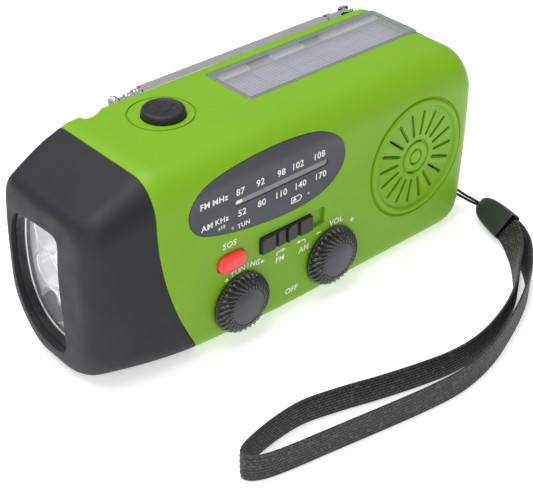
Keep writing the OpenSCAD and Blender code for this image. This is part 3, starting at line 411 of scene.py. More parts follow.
def copy(ob, name):
    c = bpy.data.objects.new(name, ob.data.copy())
    scene.collection.objects.link(c)
    return c


def dress(ob, mat, body="root", replaces=(), angle=35):
    """Gives a piece its material and body, and hides the CAD nodes it stands for."""
    ob.data.materials.clear()
    ob.data.materials.append(mat)
    if ob.type == "MESH":
        for p in ob.data.polygons:
            p.material_index = 0
        shade(ob, angle)
    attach(ob, body)
    if replaces:
        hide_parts(*replaces)
    return ob


# ---------------------------------------------------------------- strap: cord, ferrule and webbing
CORD = [(69, -27, 4), (68.8, -24.6, 4), (68.4, -22.2, 4.2), (67.8, -19.6, 4.7), (66.8, -17.4, 5.4),
        (65.5, -15.8, 6), (64.3, -14.9, 6.4), (63.9, -13.7, 6.7), (64.6, -12.6, 6.9), (65.9, -12.3, 7),
        (67.1, -12.9, 6.9), (68, -14.6, 6.3), (68.7, -17, 5.5), (69.2, -19.6, 4.8), (69.6, -22.2, 4.4),
        (69.8, -24.6, 4.2), (69.9, -27, 4.1)]
CORD_R = 0.4
# Each stop of the webbing: x, y, z and lean from upright in degrees
WEB = [(65.4, -41.2, 4.1, -41), (63.8, -44.8, 4.1, -38), (61.4, -48.9, 4.1, -31), (57.8, -53.4, 4.1, -20),
       (52.6, -58.6, 4.1, -8)]
WEB += [(x, y, 4.1, 0) for x, y in ((45.6, -63.6), (37.6, -67.8), (29, -71.4), (20, -74.6), (11, -76.6),
        (2, -77.2), (-8, -76.2), (-18, -74.6), (-28, -72.8), (-38, -71), (-47, -69.4), (-53.6, -67.8),
        (-57.2, -65.8), (-57.8, -63.6), (-55.6, -61.8), (-50, -60.4), (-42, -59.4), (-34, -59.6),
        (-24, -62.2), (-14, -65.4), (-4, -68.2), (6, -70.4), (15, -70.8), (24, -69.4), (34, -66.2),
        (43, -61.8))]
WEB += [(50.2, -56.2, 4.2, 8), (55.7, -51.6, 4.4, 20), (59.6, -47.4, 4.6, 31), (62.3, -43.9, 4.8, 38),
        (64.2, -40.5, 4.9, 41)]
WEB_W, WEB_T = 8.0, 1.1


def spline(points, step):
    """Points every step mm along a smooth curve through the given ones."""
    p = np.array(points, float)
    p = np.vstack([2 * p[0] - p[1], p, 2 * p[-1] - p[-2]])
    out = []
    for i in range(1, len(p) - 2):
        a, b, c, d = p[i - 1:i + 3]
        for t in np.linspace(0, 1, 24, endpoint=False):
            out.append(0.5 * (2 * b + (c - a) * t + (2 * a - 5 * b + 4 * c - d) * t ** 2
                              + (3 * b - a - 3 * c + d) * t ** 3))
    out.append(p[-2])
    out = np.array(out)
    s = np.concatenate([[0], np.cumsum(np.linalg.norm(np.diff(out[:, :3], axis=0), axis=1))])
    even = np.linspace(0, s[-1], max(4, int(round(s[-1] / step)) + 1))
    return np.stack([np.interp(even, s, out[:, k]) for k in range(out.shape[1])], axis=1), even


def cord_piece():
    """The thin braided cord, looped round the bar at the tail, as one curve."""
    pts, s = spline(CORD, 0.6)
    cu = bpy.data.curves.new("strap_cord_braid", "CURVE")
    cu.dimensions = "3D"
    sp = cu.splines.new("POLY")
    sp.points.add(len(pts) - 1)
    for q, p in zip(sp.points, pts):
        q.co = (p[0] * MM, p[1] * MM, p[2] * MM, 1)
    cu.bevel_depth = CORD_R * MM
    cu.bevel_resolution = 5
    cu.use_fill_caps = True
    cu.materials.append(FIBRE)
    ob = bpy.data.objects.new("strap_cord_braid", cu)
    scene.collection.objects.link(ob)
    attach(ob, "root")
    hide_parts("strap_cord")
    return ob, s[-1]


def webbing_piece():
    """Flat woven webbing: rows of raised yarns on both faces, plain selvedges and a rounded edge."""
    pts, s = spline(WEB, 0.24)
    xyz = pts[:, :3]
    tan = np.gradient(xyz, axis=0)
    tan /= np.linalg.norm(tan, axis=1)[:, None]
    across = np.stack([tan[:, 1], -tan[:, 0], np.zeros(len(tan))], axis=1)
    across /= np.linalg.norm(across, axis=1)[:, None]
    up = np.cross(across, tan)
    lean = np.radians(pts[:, 3])[:, None]
    wide = np.cos(lean) * up + np.sin(lean) * across
    thin = np.cos(lean) * across - np.sin(lean) * up
    half_w, half_t = WEB_W / 2 - 0.02, WEB_T / 2
    v = np.linspace(-1, 1, 46)
    rows, pitch = 9, 1.25
    ring, lift = [], []
    for side in (1, -1):
        w = v if side > 0 else -v
        crown = half_t * np.sqrt(np.clip(1 - np.abs(w) ** 8, 0, 1)) * 0.86
        row = (w + 1) / 2 * rows
        col = s[:, None] / pitch + 0.5 * (np.floor(row) % 2)[None, :]
        bump = np.abs(np.sin(np.pi * row))[None, :] ** 0.7 * np.abs(np.sin(np.pi * col)) ** 0.8
        bump = np.where(np.abs(w) < 0.93, bump, 0.75)
        high = crown[None, :] + (bump - 0.7) * 0.26 * (crown > 0.25)[None, :]
        for k in range(len(v)):
            if side > 0 or 0 < k < len(v) - 1:
                ring.append(xyz + wide * (half_w * w[k]) + thin * (side * high[:, k])[:, None])
                lift.append(bump[:, k])
    rings = np.stack(ring, axis=1)
    vv, ff = loft([list(map(tuple, r)) for r in rings])
    ob = solid("strap_webbing_weave", vv, ff, angle=80)
    weave = ob.data.attributes.new("weave", "FLOAT", "POINT")
    weave.data.foreach_set("value", np.stack(lift, axis=1).ravel().astype(np.float32))
    dress(ob, WEBBING, "root", ("strap_webbing",), angle=80)
    return ob, s[-1], [tuple(p * MM) for p in xyz[::8]]


def ferrule_piece():
    """Tapered sleeve that joins cord and webbing: round at the cord, flat and open at the webbing."""
    a, b = Vector((70.0, -25.4, 4.1)), Vector((64.9, -40.2, 4.9))
    axis = (b - a).normalized()
    wide = Vector((0.617, -0.222, 0.755)).normalized()
    wide = (wide - axis * wide.dot(axis)).normalized()
    thin = axis.cross(wide).normalized()
    rings = []

    def ring(t, hw, ht, r, n=10):
        c = a + (b - a) * t
        rings.append([tuple(c + wide * p + thin * q) for p, q in round_rect(-hw, -ht, hw, ht, r, n)])

    for t, hw, ht, r in ((0, 0.6, 0.5, 0.4), (0.012, 1.2, 1.0, 0.6), (0.05, 2.0, 1.45, 0.8), (0.12, 2.8, 1.75, 0.9),
                         (0.22, 3.45, 1.9, 0.95), (0.36, 3.95, 2.0, 1.0), (0.55, 4.3, 2.05, 1.0), (0.8, 4.5, 2.1, 1.0),
                         (0.97, 4.55, 2.1, 0.95), (1.0, 4.4, 1.95, 0.9), (1.0, 4.15, 1.6, 0.7), (0.97, 4.05, 1.5, 0.6),
                         (0.55, 3.7, 1.3, 0.6)):
        ring(t, hw, ht, r)
    v, f = loft(rings)
    ob = solid("strap_ferrule_sleeve", v, f, angle=50)
    return dress(ob, FERRULE, "root", ("strap_ferrule",), angle=50)


ferrule = ferrule_piece()
cord_ob, cord_len = cord_piece()
web_ob, web_len, web_path = webbing_piece()
print("cord length", round(cord_len, 2), "webbing length", round(web_len, 2))

# ---------------------------------------------------------------- body form
TIP, TAIL, HALF_D, HIGH = -68.0, 68.0, 23.0, 57.0
FACE = -HALF_D  # front face, in Y
SEAM_X, SEAM_Z, SEAM_R = 37.3, 46.0, 86.5  # arc of the joint between shell and torch end
ANT_Y, ANT_Z = 21.8, 55.2  # antenna axis
LAMP_X, LAMP_Y = -25.5, 5.5  # lamp button centre
CRANK_X, CRANK_Z = 20, 28.5  # crank shaft centre


def quarter(r, d):
    """How far a rounded end of radius r stands in, d from the end."""
    d = min(max(d, 0.0), r)
    return r - math.sqrt(max(0.0, r * r - (r - d) ** 2))


def ring_at(x, i=0.0):
    """The body's outline across X, i inside its outer faces."""
    n_arc, n_side = 14, 10
    front = rear = HALF_D
    low, high = 0.0, HIGH
    r_tf, r_tr, r_bf, r_br = 10.0, 5.0, 5.0, 5.0
    u = max(0.0, (-30.0 - x) / 38.0)
    front -= 4.16 * u ** 2.2
    rear -= 4.16 * u ** 2.2
    v = max(0.0, (-46.0 - x) / 22.0)
    high -= 8.0 * v ** 1.15
    k = max(0.0, (-44.0 - x) / 24.0)
    k = k * k * (3 - 2 * k)
    r_tf += (6.0 - r_tf) * k
    r_tr += (4.0 - r_tr) * k
    r_bf += 6.3 * min(1.0, max(0.0, (-8.0 - x) / 60.0))
    r_br += 9.0 * k
    d = x - TIP
    e = TAIL - x
    front -= quarter(5.0, d) + quarter(8.5, e)
    rear -= quarter(1.8, d) + quarter(6.5, e)
    high -= quarter(2.4, d) + quarter(11.0, e)
    low += quarter(5.8, d) + quarter(12.5, e)
    front, rear, low, high = front - i, rear - i, low + i, high - i
    r_tf, r_tr, r_bf, r_br = (max(0.6, r - i) for r in (r_tf, r_tr, r_bf, r_br))
    pts = []
    corners = ((-front + r_bf, low + r_bf, r_bf, 180), (rear - r_br, low + r_br, r_br, 270),
               (rear - r_tr, high - r_tr, r_tr, 0), (-front + r_tf, high - r_tf, r_tf, 90))
    for c in range(4):
        y, z, r, a = corners[c]
        pts += circle(y, z, r, n_arc, math.radians(a), math.radians(a + 90))
        y2, z2, r2, a2 = corners[(c + 1) % 4]
        p = pts[-1]
        q = (y2 + r2 * math.cos(math.radians(a2)), z2 + r2 * math.sin(math.radians(a2)))
        pts += [(p[0] + (q[0] - p[0]) * t / n_side, p[1] + (q[1] - p[1]) * t / n_side) for t in range(1, n_side)]
    return [(x, y, z) for y, z in pts]


def warp(p):
    """Barrel sides at the torch end, and a tail that leans in towards the base."""
    x, y, z = p
    k = max(0.0, (-35.0 - x) / 33.0) ** 2
    b = (0.334 if z < 25 else 0.02) * k * ((z - 25) / 28.0) ** 2
    if x > 45:
        w = ((x - 45) / 23.0) ** 2
        bow = -3.0 * (max(0.0, 38 - z) / 38.0) ** 2
    else:
        w = min(1.0, max(0.0, (-50.0 - x) / 18.0)) ** 2
        bow = (-0.56 if z < 30 else 1.73) * ((z - 30) / 25.0) ** 2 + 0.17 * (y / 16.0) ** 2
    return (x + w * bow, y * (1 - b), z)


def body_solid(i=0.0, name="body"):
    """The whole body as one closed mesh, i inside its outer faces."""
    d = [0, .15, .35, .6, .9, 1.3, 1.8, 2.4, 3.2, 4.2, 5.4, 6.8, 8.2, 10, 12, 14, 16.5, 19, 22, 25, 28, 31, 34, 37,
         40, 44, 50, 58, 68, 78, 88, 98, 108, 114, 118, 121, 123.5, 125.5, 127.3, 129, 130.5, 131.8, 132.9,
         133.8, 134.5, 135.05, 135.5, 135.8, 136]
    span = TAIL - TIP
    xs = [TIP + i + q * (span - 2 * i) / span for q in d]
    rings = [ring_at(min(max(x, TIP), TAIL), 0) if i == 0 else ring_at(x, i) for x in xs]

    def shrink(ring, s):
        c = np.mean(np.array(ring), axis=0)
        return [tuple(c + (np.array(p) - c) * s) for p in ring]

    tip = [shrink(rings[0], s) for s in (0.1, 0.25, 0.4, 0.55, 0.7, 0.83, 0.93, 0.98)]
    end = [shrink(rings[-1], s) for s in (0.98, 0.9, 0.5, 0.1)]
    v, f = loft(tip + rings + end)
    return solid(name, [warp(p) for p in v], f, angle=60)


def seam(gap):
    """Everything behind the torch end's joint line."""
    out = circle(SEAM_X, SEAM_Z, SEAM_R + gap, 97, math.radians(90), math.radians(270))
    return prism("y", out + [(130, SEAM_Z - SEAM_R - gap), (130, SEAM_Z + SEAM_R + gap)], -40, 40)


def channel_cut():
    """The groove along the top rear edge that the antenna lies in."""
    y, z, r = ANT_Y, ANT_Z, 2.6
    pts = circle(y, z, r, 25, math.radians(180), math.radians(270)) + [(30, z - r), (30, 62), (y - r, 62)]
    return prism("x", pts, -75, 61.4)


def scoop_cut():
    """The finger scoop by the antenna's tip."""
    return prism("y", circle(-39, 60.4, 5, 64), 15.8, 30)


def smooth_loop(points, grow):
    """A smooth closed outline through the points, moved outwards by grow."""
    pts = np.array(points, float)
    for _ in range(3):
        nxt, prv = np.roll(pts, -1, 0), np.roll(pts, 1, 0)
        fine = np.empty((2 * len(pts), 2))
        fine[0::2] = 0.75 * pts + 0.125 * (nxt + prv)
        fine[1::2] = 0.5 * (pts + nxt)
        pts = fine
    run = np.roll(pts, -1, 0) - np.roll(pts, 1, 0)
    run /= np.linalg.norm(run, axis=1)[:, None]
    area = 0.5 * np.sum(pts[:, 0] * np.roll(pts[:, 1], -1) - pts[:, 1] * np.roll(pts[:, 0], -1))
    out = np.stack([run[:, 1], -run[:, 0]], axis=1) * np.sign(area)
    return [tuple(p) for p in pts + out * grow]


def window_outline(grow):
    return smooth_loop([(13.4, 43.4), (12.5, 47.2), (9.8, 50.2), (6.0, 52.0), (1.0, 52.9), (-6.0, 53.3), (-13.7, 53.3),
                        (-20.5, 53.0), (-26.5, 52.5), (-31.5, 51.8), (-35.7, 50.6), (-38.6, 48.5), (-40.0, 45.5),
                        (-39.7, 42.4), (-38.4, 39.8), (-35.8, 37.8), (-31.2, 36.2), (-25.5, 34.8), (-18.9, 33.7),
                        (-11.5, 32.9), (-4.6, 32.7), (1.2, 33.2), (6.3, 34.5), (10.3, 36.9), (12.7, 40.0)][::-1], grow)


whole = body_solid(0, "whole")
hollow = body_solid(2.0, "hollow")
shallow = body_solid(1.0, "shallow")
proud = body_solid(-0.06, "proud")

# ---------------------------------------------------------------- green shell
SX0, SY0, SX1, SY1 = -3.3, -3.1, 61.4, 15.9
SPX, SPZ = 42.0, 30.4
KNOBS = ((-24.0, 12.2), (8.7, 12.2))
SOS_X, SOS_Z = -26.8, 26.3

walls = copy(hollow, "walls")
boolean(walls, prism("x", [(17.6, 51), (30, 51), (30, 62), (17.6, 62)], -75, 75))
shell = copy(whole, "shell")
boolean(shell, walls)
boolean(shell, seam(-0.12), "INTERSECT")
add(shell, box(SX0 - 1.2, SY0 - 1.2, 51.2, SX1 + 1.2, SY1 + 1.2, 55.6))
add(shell, boolean(box(62, -22, 2.6, 67.9, -9.8, 11.2), whole, "INTERSECT", keep=True))
window_cut = prism("y", window_outline(0.12), -26, -10)
boolean(window_cut, shallow, keep=True)
cut(shell, window_cut)
cut(shell, channel_cut(), scoop_cut())
cut(shell, prism("z", round_rect(SX0 - 0.12, SY0 - 0.12, SX1 + 0.12, SY1 + 0.12, 1.3), 53.4, 60))
for outline, depth in ((round_rect(-26.6, 40.7, 8.3, 45.3, 1.2), -18), (circle(*KNOBS[0], 2.1, 48), -18),
                       (circle(*KNOBS[1], 2.1, 48), -18), (round_rect(-17.2, 23.7, 6.3, 29.1, 0.7), -21.8),
                       (round_rect(-10.0, 25.2, -1.1, 27.6, 0.4), -18),
                       (round_rect(SOS_X - 4.8, SOS_Z - 2.9, SOS_X + 4.8, SOS_Z + 2.9, 2.9), -18)):
    cut(shell, prism("y", outline, -25, depth))
cut(shell, prism("z", circle(LAMP_X, LAMP_Y, 6.1, 96), 52, 60))
cut(shell, prism("x", round_rect(-4.5, 19.5, 10.5, 40.5, 1.5), 64, 70))
cut(shell, box(63.2, -18, 4, 69, -11, 10))
# Grooves: round the lamp button, and the bead and rings of the grille
GRILLE = (SPX, FACE, SPZ)
cut(shell, revolve("z", (LAMP_X, LAMP_Y + 1, HIGH), [(8.85, -0.42), (9.15, -0.42), (9.3, 0.3), (8.7, 0.3)]))
cut(shell, revolve("y", GRILLE, [(17.7, 0.6), (18.1, 0.55), (19.0, -0.5), (17.5, -0.5)]))
cut(shell, revolve("y", GRILLE, [(0.0001, 0.3), (15.7, 0.3), (16.15, -0.4), (0.0001, -0.4)]))
bead = [(15.9, 0.35), (15.95, -0.1), (16.25, -0.42), (16.8, -0.56), (17.3, -0.42), (17.6, -0.05), (17.68, 0.5)]
add(shell, revolve("y", GRILLE, bead))
cut(shell, revolve("y", GRILLE, [(4.75, 0.8), (5.2, 0.8), (5.6, 0), (4.35, 0)]))
cut(shell, revolve("y", GRILLE, [(2.05, 0.8), (2.45, 0.8), (2.8, 0), (1.75, 0)]))


def spokes():
    """The grille's slots, each a thin rounded bar."""
    out = []
    for k in range(18):
        o = prism("y", round_rect(7.1, -0.24, 14.3, 0.24, 0.22, 4), -25, -18)
        add(o, prism("y", round_rect(6.9, -0.5, 14.5, 0.5, 0.45, 4), -25, -22.0))
        a = k * TAU / 18
        o.data.transform(Matrix.Translation((SPX * MM, 0, SPZ * MM)) @ Matrix.Rotation(a, 4, "Y"))
        out.append(o)
    for r, spans in ((4.97, ((60, 125), (240, 305))), (2.25, ((70, 120), (235, 290)))):
        for a0, a1 in spans:
            a0, a1 = math.radians(a0), math.radians(a1)
            arc = circle(SPX, SPZ, r + 0.22, 12, a0, a1) + circle(SPX, SPZ, r - 0.22, 12, a1, a0)
            out.append(prism("y", arc, -25, -18))
    return out


for o in spokes():
    cut(shell, o)
halves = {}
for name, y0, y1 in (("shell_front", -40, 19.14), ("shell_rear", 19.26, 40)):
    halves[name] = boolean(copy(shell, name), box(-90, y0, -10, 90, y1, 70), "INTERSECT")
bpy.data.objects.remove(shell)
rear = halves["shell_rear"]
add(rear, prism("y", circle(CRANK_X, CRANK_Z, 4.9, 64), 20.2, 24.1))
cut(rear, prism("y", circle(CRANK_X, CRANK_Z, 2.58, 64), 19, 26))
add(rear, box(52.6, 19.3, 44, 59.4, 22.8, 50.9))
cut(rear, prism("z", circle(56, ANT_Y, 2.6, 48), 51, 60))
POSTS = ((-7.65, 5.6), (62.8, 8.0), (62.8, 49.0), (-38.0, 46.0))
for x, z in POSTS:
    add(rear, prism("y", circle(x, z, 2.6, 48), 19.27, 22.6))
    cut(rear, prism("y", circle(x, z, 2.1, 48), 21.4, 26))
    cut(rear, prism("y", circle(x, z, 1.2, 32), 18, 26))
dress(halves["shell_front"], GREEN, "root", ("front_shell",), angle=30)
dress(rear, GREEN, "root", ("rear_cover",), angle=30)

# ---------------------------------------------------------------- torch end
CUPS = ((7.4, 12.6), (8.0, 23.6), (7.4, 34.6))
LENS_X, REFLECTOR_X, LED_X = -63.8, -62.3, -57.6  # front planes of lens, reflector and LEDs


def mouth_outline(grow=0.0):
    """The torch opening: one straight side, one barrel side, and a chin that draws in."""
    return smooth_loop([(-6.9, 12), (-6.2, 18), (-5.7, 24), (-5.5, 30), (-5.7, 36), (-6.1, 39.4), (-5.8, 41.8),
                        (-4.0, 42.7), (-0.5, 42.6), (4.0, 42.3), (9.0, 41.9), (12.6, 41.3), (14.3, 39.8),
                        (15.2, 37.0), (16.0, 33), (16.4, 28.5), (16.3, 23), (15.4, 17.8), (13.6, 13.6),
                        (11.0, 10.3), (8.0, 8.3), (4.0, 7.0), (0.0, 6.5), (-4.6, 6.8), (-6.9, 8.4)], grow)


nose = copy(whole, "nose")
nose_walls = copy(hollow, "nose_walls")
boolean(nose_walls, prism("x", mouth_outline(1.6), -75, -57))
boolean(nose_walls, prism("x", [(17.6, 51), (30, 51), (30, 62), (17.6, 62)], -75, 75))
boolean(nose, nose_walls)
cut(nose, seam(0.12))
cut(nose, prism("x", mouth_outline(0.0), -75, -55))
cut(nose, channel_cut(), scoop_cut())
dress(nose, CHARCOAL, "root", ("nose_cap",), angle=32)


def reflector_piece():
    """Chromed three-cup reflector with a raised rim round each cup."""
    plate = prism("x", mouth_outline(-0.25), REFLECTOR_X, -55.4)
    for y, z in CUPS:
        bowl = [(5.1 * math.sqrt(max(0.0, 1 - (t / 6.3) ** 1.6)) + 2.1 * (t / 6.3), t) for t in np.linspace(0, 6.1, 15)]
        profile = [(0.0001, -1.2), (5.1, -1.2)] + bowl + [(2.6, 7.5), (0.0001, 7.5)]
        cut(plate, revolve("x", (REFLECTOR_X, y, z), profile, 72))
    rims = []
    for y, z in CUPS:
        rims.append(revolve("x", (REFLECTOR_X, y, z), [(5.12, 0.3), (5.0, 0), (5.0, -0.3), (5.2, -0.45),
                                                        (5.5, -0.3), (5.55, 0.1), (5.3, 0.3)], 72))
    for r in rims:
        boolean(r, prism("x", mouth_outline(-0.3), -66, -55), "INTERSECT")
    return dress(join("torch_reflector", [plate] + rims), MIRROR, "root", ("reflector",), 40)


def led_pieces():
    """Domed clear LEDs with a pale phosphor die and a collar."""
    domes, dies = [], []
    for y, z in CUPS:
        dome = [(0.0001, -3.3)] + [(2.45 * math.sin(a), -0.9 - 2.4 * math.cos(a)) for a in np.linspace(0.1, 1.5, 10)]
        domes.append(revolve("x", (LED_X, y, z), dome + [(2.45, 1.2), (2.7, 1.2), (2.7, 1.8), (0.0001, 1.8)], 40))
        dies.append(revolve("x", (LED_X, y, z), [(0.0001, -1.3), (1.5, -1.1), (1.7, -0.2), (0.0001, -0.2)], 32))
    dress(join("torch_led_domes", domes), EPOXY, "root", ("torch_leds",))
    dress(join("torch_led_dies", dies), INK, "root")


reflector_piece()
led_pieces()
lens = prism("x", mouth_outline(-0.12), LENS_X, LENS_X + 1, edge=0.2)
dress(lens, LENS, "root", ("torch_lens",))
wall = prism("x", mouth_outline(-0.02), -66.4, -62.85)
cut(wall, prism("x", mouth_outline(-0.35), -70, -60))
dress(wall, BLACK, "root").name = "torch_mouth_wall"
# painted highlight: a thin chrome ring with the reflector's faint glow, laid just in front of the lens edge as a bright
# line
painted_glint = prism("x", mouth_outline(-0.36), -64.0, -63.75)
cut(painted_glint, prism("x", mouth_outline(-0.75), -70, -60))
dress(painted_glint, MIRROR, "root").name = "torch_lens_painted_glint_ring"

# ---------------------------------------------------------------- top: lamp button and solar panel
def lamp_button():
    """Rubber button with a soft rim, a dished top and a raised lamp symbol."""
    top = 2.3
    prof = [(0.0001, -3.2), (7.0, -3.2), (7.0, -2.4), (5.9, -2.4), (5.9, top - 1.1)]
    prof += [(5.9 - 0.9 * (1 - math.cos(a)), top - 1.1 + 1.0 * math.sin(a)) for a in np.linspace(0.2, 1.57, 7)]
    prof += [(4.9, top - 0.16), (4.5, top - 0.3), (3.0, top - 0.42), (1.2, top - 0.48), (0.0001, top - 0.5)]
    centre = (LAMP_X, LAMP_Y, HIGH)
    ob = revolve("z", centre, prof, 96)
    ring = [(1.3, top - 0.6), (1.3, top - 0.3), (1.75, top - 0.3), (1.75, top - 0.6)]
    marks = [revolve("z", centre, ring, 40)]
    for k in range(8):
        o = prism("z", round_rect(2.3, -0.22, 3.6, 0.22, 0.2, 4), HIGH + top - 0.6, HIGH + top - 0.28)
        o.data.transform(Matrix.Translation((LAMP_X * MM, LAMP_Y * MM, 0)) @ Matrix.Rotation(TAU * k / 8, 4, "Z"))
        marks.append(o)
    return dress(join("lamp_button_cap", [ob] + marks), RUBBER, "lamp_key", ("light_button",), 40)


lamp_button()


def solar_pieces():
    """Clear cover over sunken cells, with a stepped rail of clear tabs along the back wall."""
    cover = prism("z", round_rect(SX0, SY0, SX1, SY1, 1.2), 55.85, 57.02, edge=0.22)
    dress(cover, CLEAR, "root", ("solar_cover",))
    frame_line = prism("z", round_rect(SX0 + 0.05, SY0 + 0.05, SX1 - 0.05, SY1 - 0.05, 1.15), 55.3, 56.95)
    cut(frame_line, prism("z", round_rect(SX0 + 0.55, SY0 + 0.55, SX1 - 0.55, SY1 - 0.55, 0.8), 50, 60))
    dress(frame_line, STRIP, "root")
    lines = []
    for inset, wide in ((0.22, 0.2), (1.05, 0.16)):
        line = prism("z", round_rect(SX0 + inset, SY0 + inset, SX1 - inset, SY1 - inset, 1.0), 56.6, 57.06)
        q = inset + wide
        lines.append(cut(line, prism("z", round_rect(SX0 + q, SY0 + q, SX1 - q, SY1 - q, 0.85), 50, 60)))
    dress(join("solar_cover_lines", lines), RAIL, "root")
    cell = box(SX0 + 0.6, SY0 + 0.4, 53.45, SX1 - 0.6, SY1 - 2.2, 53.8)
    bars = [box(SX0 + 0.6, SY0 + 5.2 * k, 53.79, SX1 - 0.6, SY0 + 5.2 * k + 0.35, 53.86) for k in (1, 2)]
    dress(cell, SILICON, "root", ("solar_cell",))
    dress(join("solar_bus_bars", bars), STEEL, "root")
    rail = box(SX0 + 0.6, SY1 - 2.1, 53.45, SX1 - 0.6, SY1 - 0.6, 54.5)
    dress(rail, RAIL, "root").name = "solar_rail"
    tabs, edges, notches = [], [], []
    for x0, x1 in ((SX0 + 0.8, 10.6), (19.4, 31.1), (38.5, SX1 - 0.8)):
        tabs.append(prism("z", round_rect(x0, SY1 - 3.0, x1, SY1 - 0.62, 0.7), 55.0, 55.5))
        # painted highlight: thin pale strips along the lower and right edge of each clear tab stand for the light
        # caught on its edges
        edges.append(prism("z", round_rect(x0 + 0.3, SY1 - 3.25, x1 - 0.3, SY1 - 3.02, 0.1), 55.0, 55.6))
        edges.append(prism("z", round_rect(x1 + 0.02, SY1 - 2.9, x1 + 0.22, SY1 - 1.2, 0.09), 55.0, 55.6))
    for x0, x1 in ((10.9, 19.1), (31.4, 38.2)):
        notches.append(box(x0, SY1 - 0.95, 55.2, x1, SY1 - 0.6, 56.9))
    dress(join("solar_cover_tabs", tabs), CLEAR, "root")
    dress(join("solar_cover_tab_painted_highlights", edges), PALE, "root")
    dress(join("solar_cover_notches", notches), BLACK_SATIN, "root")


solar_pieces()

# ---------------------------------------------------------------- dial window, scale and lettering
panel = prism("y", window_outline(-0.02), -26, -10, "dial_panel")
boolean(panel, proud, "INTERSECT", keep=True)
boolean(panel, shallow, keep=True)
cut(panel, prism("y", round_rect(-25.25, 42.05, 6.95, 43.95, 0.9), -25, -15))
dress(panel, GREY, "root", ("dial_window",), angle=25)
strip = prism("y", round_rect(-25.2, 42.1, 6.9, 43.9, 0.88), -22.75, -22.1, edge=0.1)
dress(strip, STRIP, "root", ("dial_slot_lens",))
needle = prism("y", round_rect(-25.0, 42.75, -22.7, 43.75, 0.4), -22.95, -22.72, edge=0.08)
dress(needle, INK, "pointer").name = "dial_needle"


def drape(ob, *targets):
    """Lays thin print on the surfaces below it, along Y."""
    trees = []
    for o in targets:
        bm = bmesh.new()
        bm.from_mesh(o.data)
        trees.append(BVHTree.FromBMesh(bm))
        bm.free()
    for v in ob.data.vertices:
        start = Vector((v.co.x, -0.1, v.co.z))
        hits = [h[0].y for h in (q.ray_cast(start, Vector((0, 1, 0))) for q in trees) if h[0]]
        if hits:
            v.co.y += min(hits) - FACE * MM
    return ob


def letters(name, items):
    """Printed labels as thin raised ink: text, x, z, cap height, slant, turn, y of the surface."""
    bm = bmesh.new()
    for text, x, z, h, slant, turn, y in items:
        cu = bpy.data.curves.new("t", "FONT")
        cu.body = text
        cu.size = h / 0.70
        cu.align_x = "CENTER"
        cu.align_y = "CENTER"
        cu.extrude = PRINT_T / 2
        cu.offset = 0.02 * h
        cu.resolution_u = 4
        cu.space_character = 1.08
        o = bpy.data.objects.new("t", cu)
        scene.collection.objects.link(o)
        dg = bpy.context.evaluated_depsgraph_get()
        me = bpy.data.meshes.new_from_object(o.evaluated_get(dg))
        shear = Matrix.Identity(4)
        shear[0][1] = slant
        m = (Matrix.Scale(MM, 4) @ Matrix.Translation((x, y, z)) @ Matrix.Rotation(-turn, 4, "Y")
             @ Matrix.Rotation(math.pi / 2, 4, "X") @ shear)
        me.transform(m)
        bm.from_mesh(me)
        bpy.data.objects.remove(o)
        bpy.data.meshes.remove(me)
        bpy.data.curves.remove(cu)
    me = bpy.data.meshes.new(name)
    bm.to_mesh(me)
    bm.free()
    ob = bpy.data.objects.new(name, me)
    scene.collection.objects.link(ob)
    return ob


FY, PRINT_T = FACE - 0.02, 0.05  # plane and thickness of the print
scale_items = [("FM", -34.9, 46.4, 1.75, 0, 0, FY), ("MHz", -30.1, 46.3, 1.75, 0, 0, FY),
               ("AM", -34.4, 40.0, 1.75, 0, 0, FY), ("KHz", -29.7, 40.1, 1.65, 0, 0, FY),
               ("x10", -29.8, 37.95, 1.0, 0, 0, FY), ("TUN", -22.5, 35.9, 1.35, 0, 0, FY)]
for text, x in (("87", -23.5), ("92", -16.8), ("98", -9.7), ("102", -4.0), ("108", 3.6)):
    scale_items.append((text, x, 46.1, 1.9, 0, 0, FY))
for text, x in (("52", -23.0), ("80", -16.4), ("110", -9.8), ("140", -3.0), ("170", 4.2)):
    scale_items.append((text, x, 39.7, 1.9, 0, 0, FY))
face_items = [("SOS", -27.2, 31.6, 1.75, 0.12, 0, FY), ("FM", -10.0, 19.1, 1.7, 0.12, 0, FY),
              ("AM", -1.3, 18.6, 1.7, 0.12, 0, FY), ("VOL", 10.7, 22.3, 1.8, 0.12, 0, FY),
              ("OFF", -5.7, 6.9, 1.75, 0.12, 0, FY)]
for k, ch in enumerate("TUNING"):
    a = math.radians(12.5 - 5.0 * k)
    face_items.append((ch, -22.1 - 20.0 * math.sin(a), 2.0 + 20.2 * math.cos(a), 1.6, 0.1, a, FY))


def bar(x0, z0, x1, z1, w, y):
    """A thin printed stroke."""
    d = math.hypot(x1 - x0, z1 - z0)
    ux, uz = (x1 - x0) / d * w / 2, (z1 - z0) / d * w / 2
    return prism("y", [(x0 - uz, z0 + ux), (x1 - uz, z1 + ux), (x1 + uz, z1 - ux), (x0 + uz, z0 - ux)],
                 y - PRINT_T / 2, y + PRINT_T / 2)


def wedge(x, z, a, s, y):
    """A small printed triangle that points along angle a."""
    pts = [(x + s * math.cos(a + q), z + s * math.sin(a + q)) for q in (0, 2.3, -2.3)]
    return prism("y", pts, y - PRINT_T / 2, y + PRINT_T / 2)


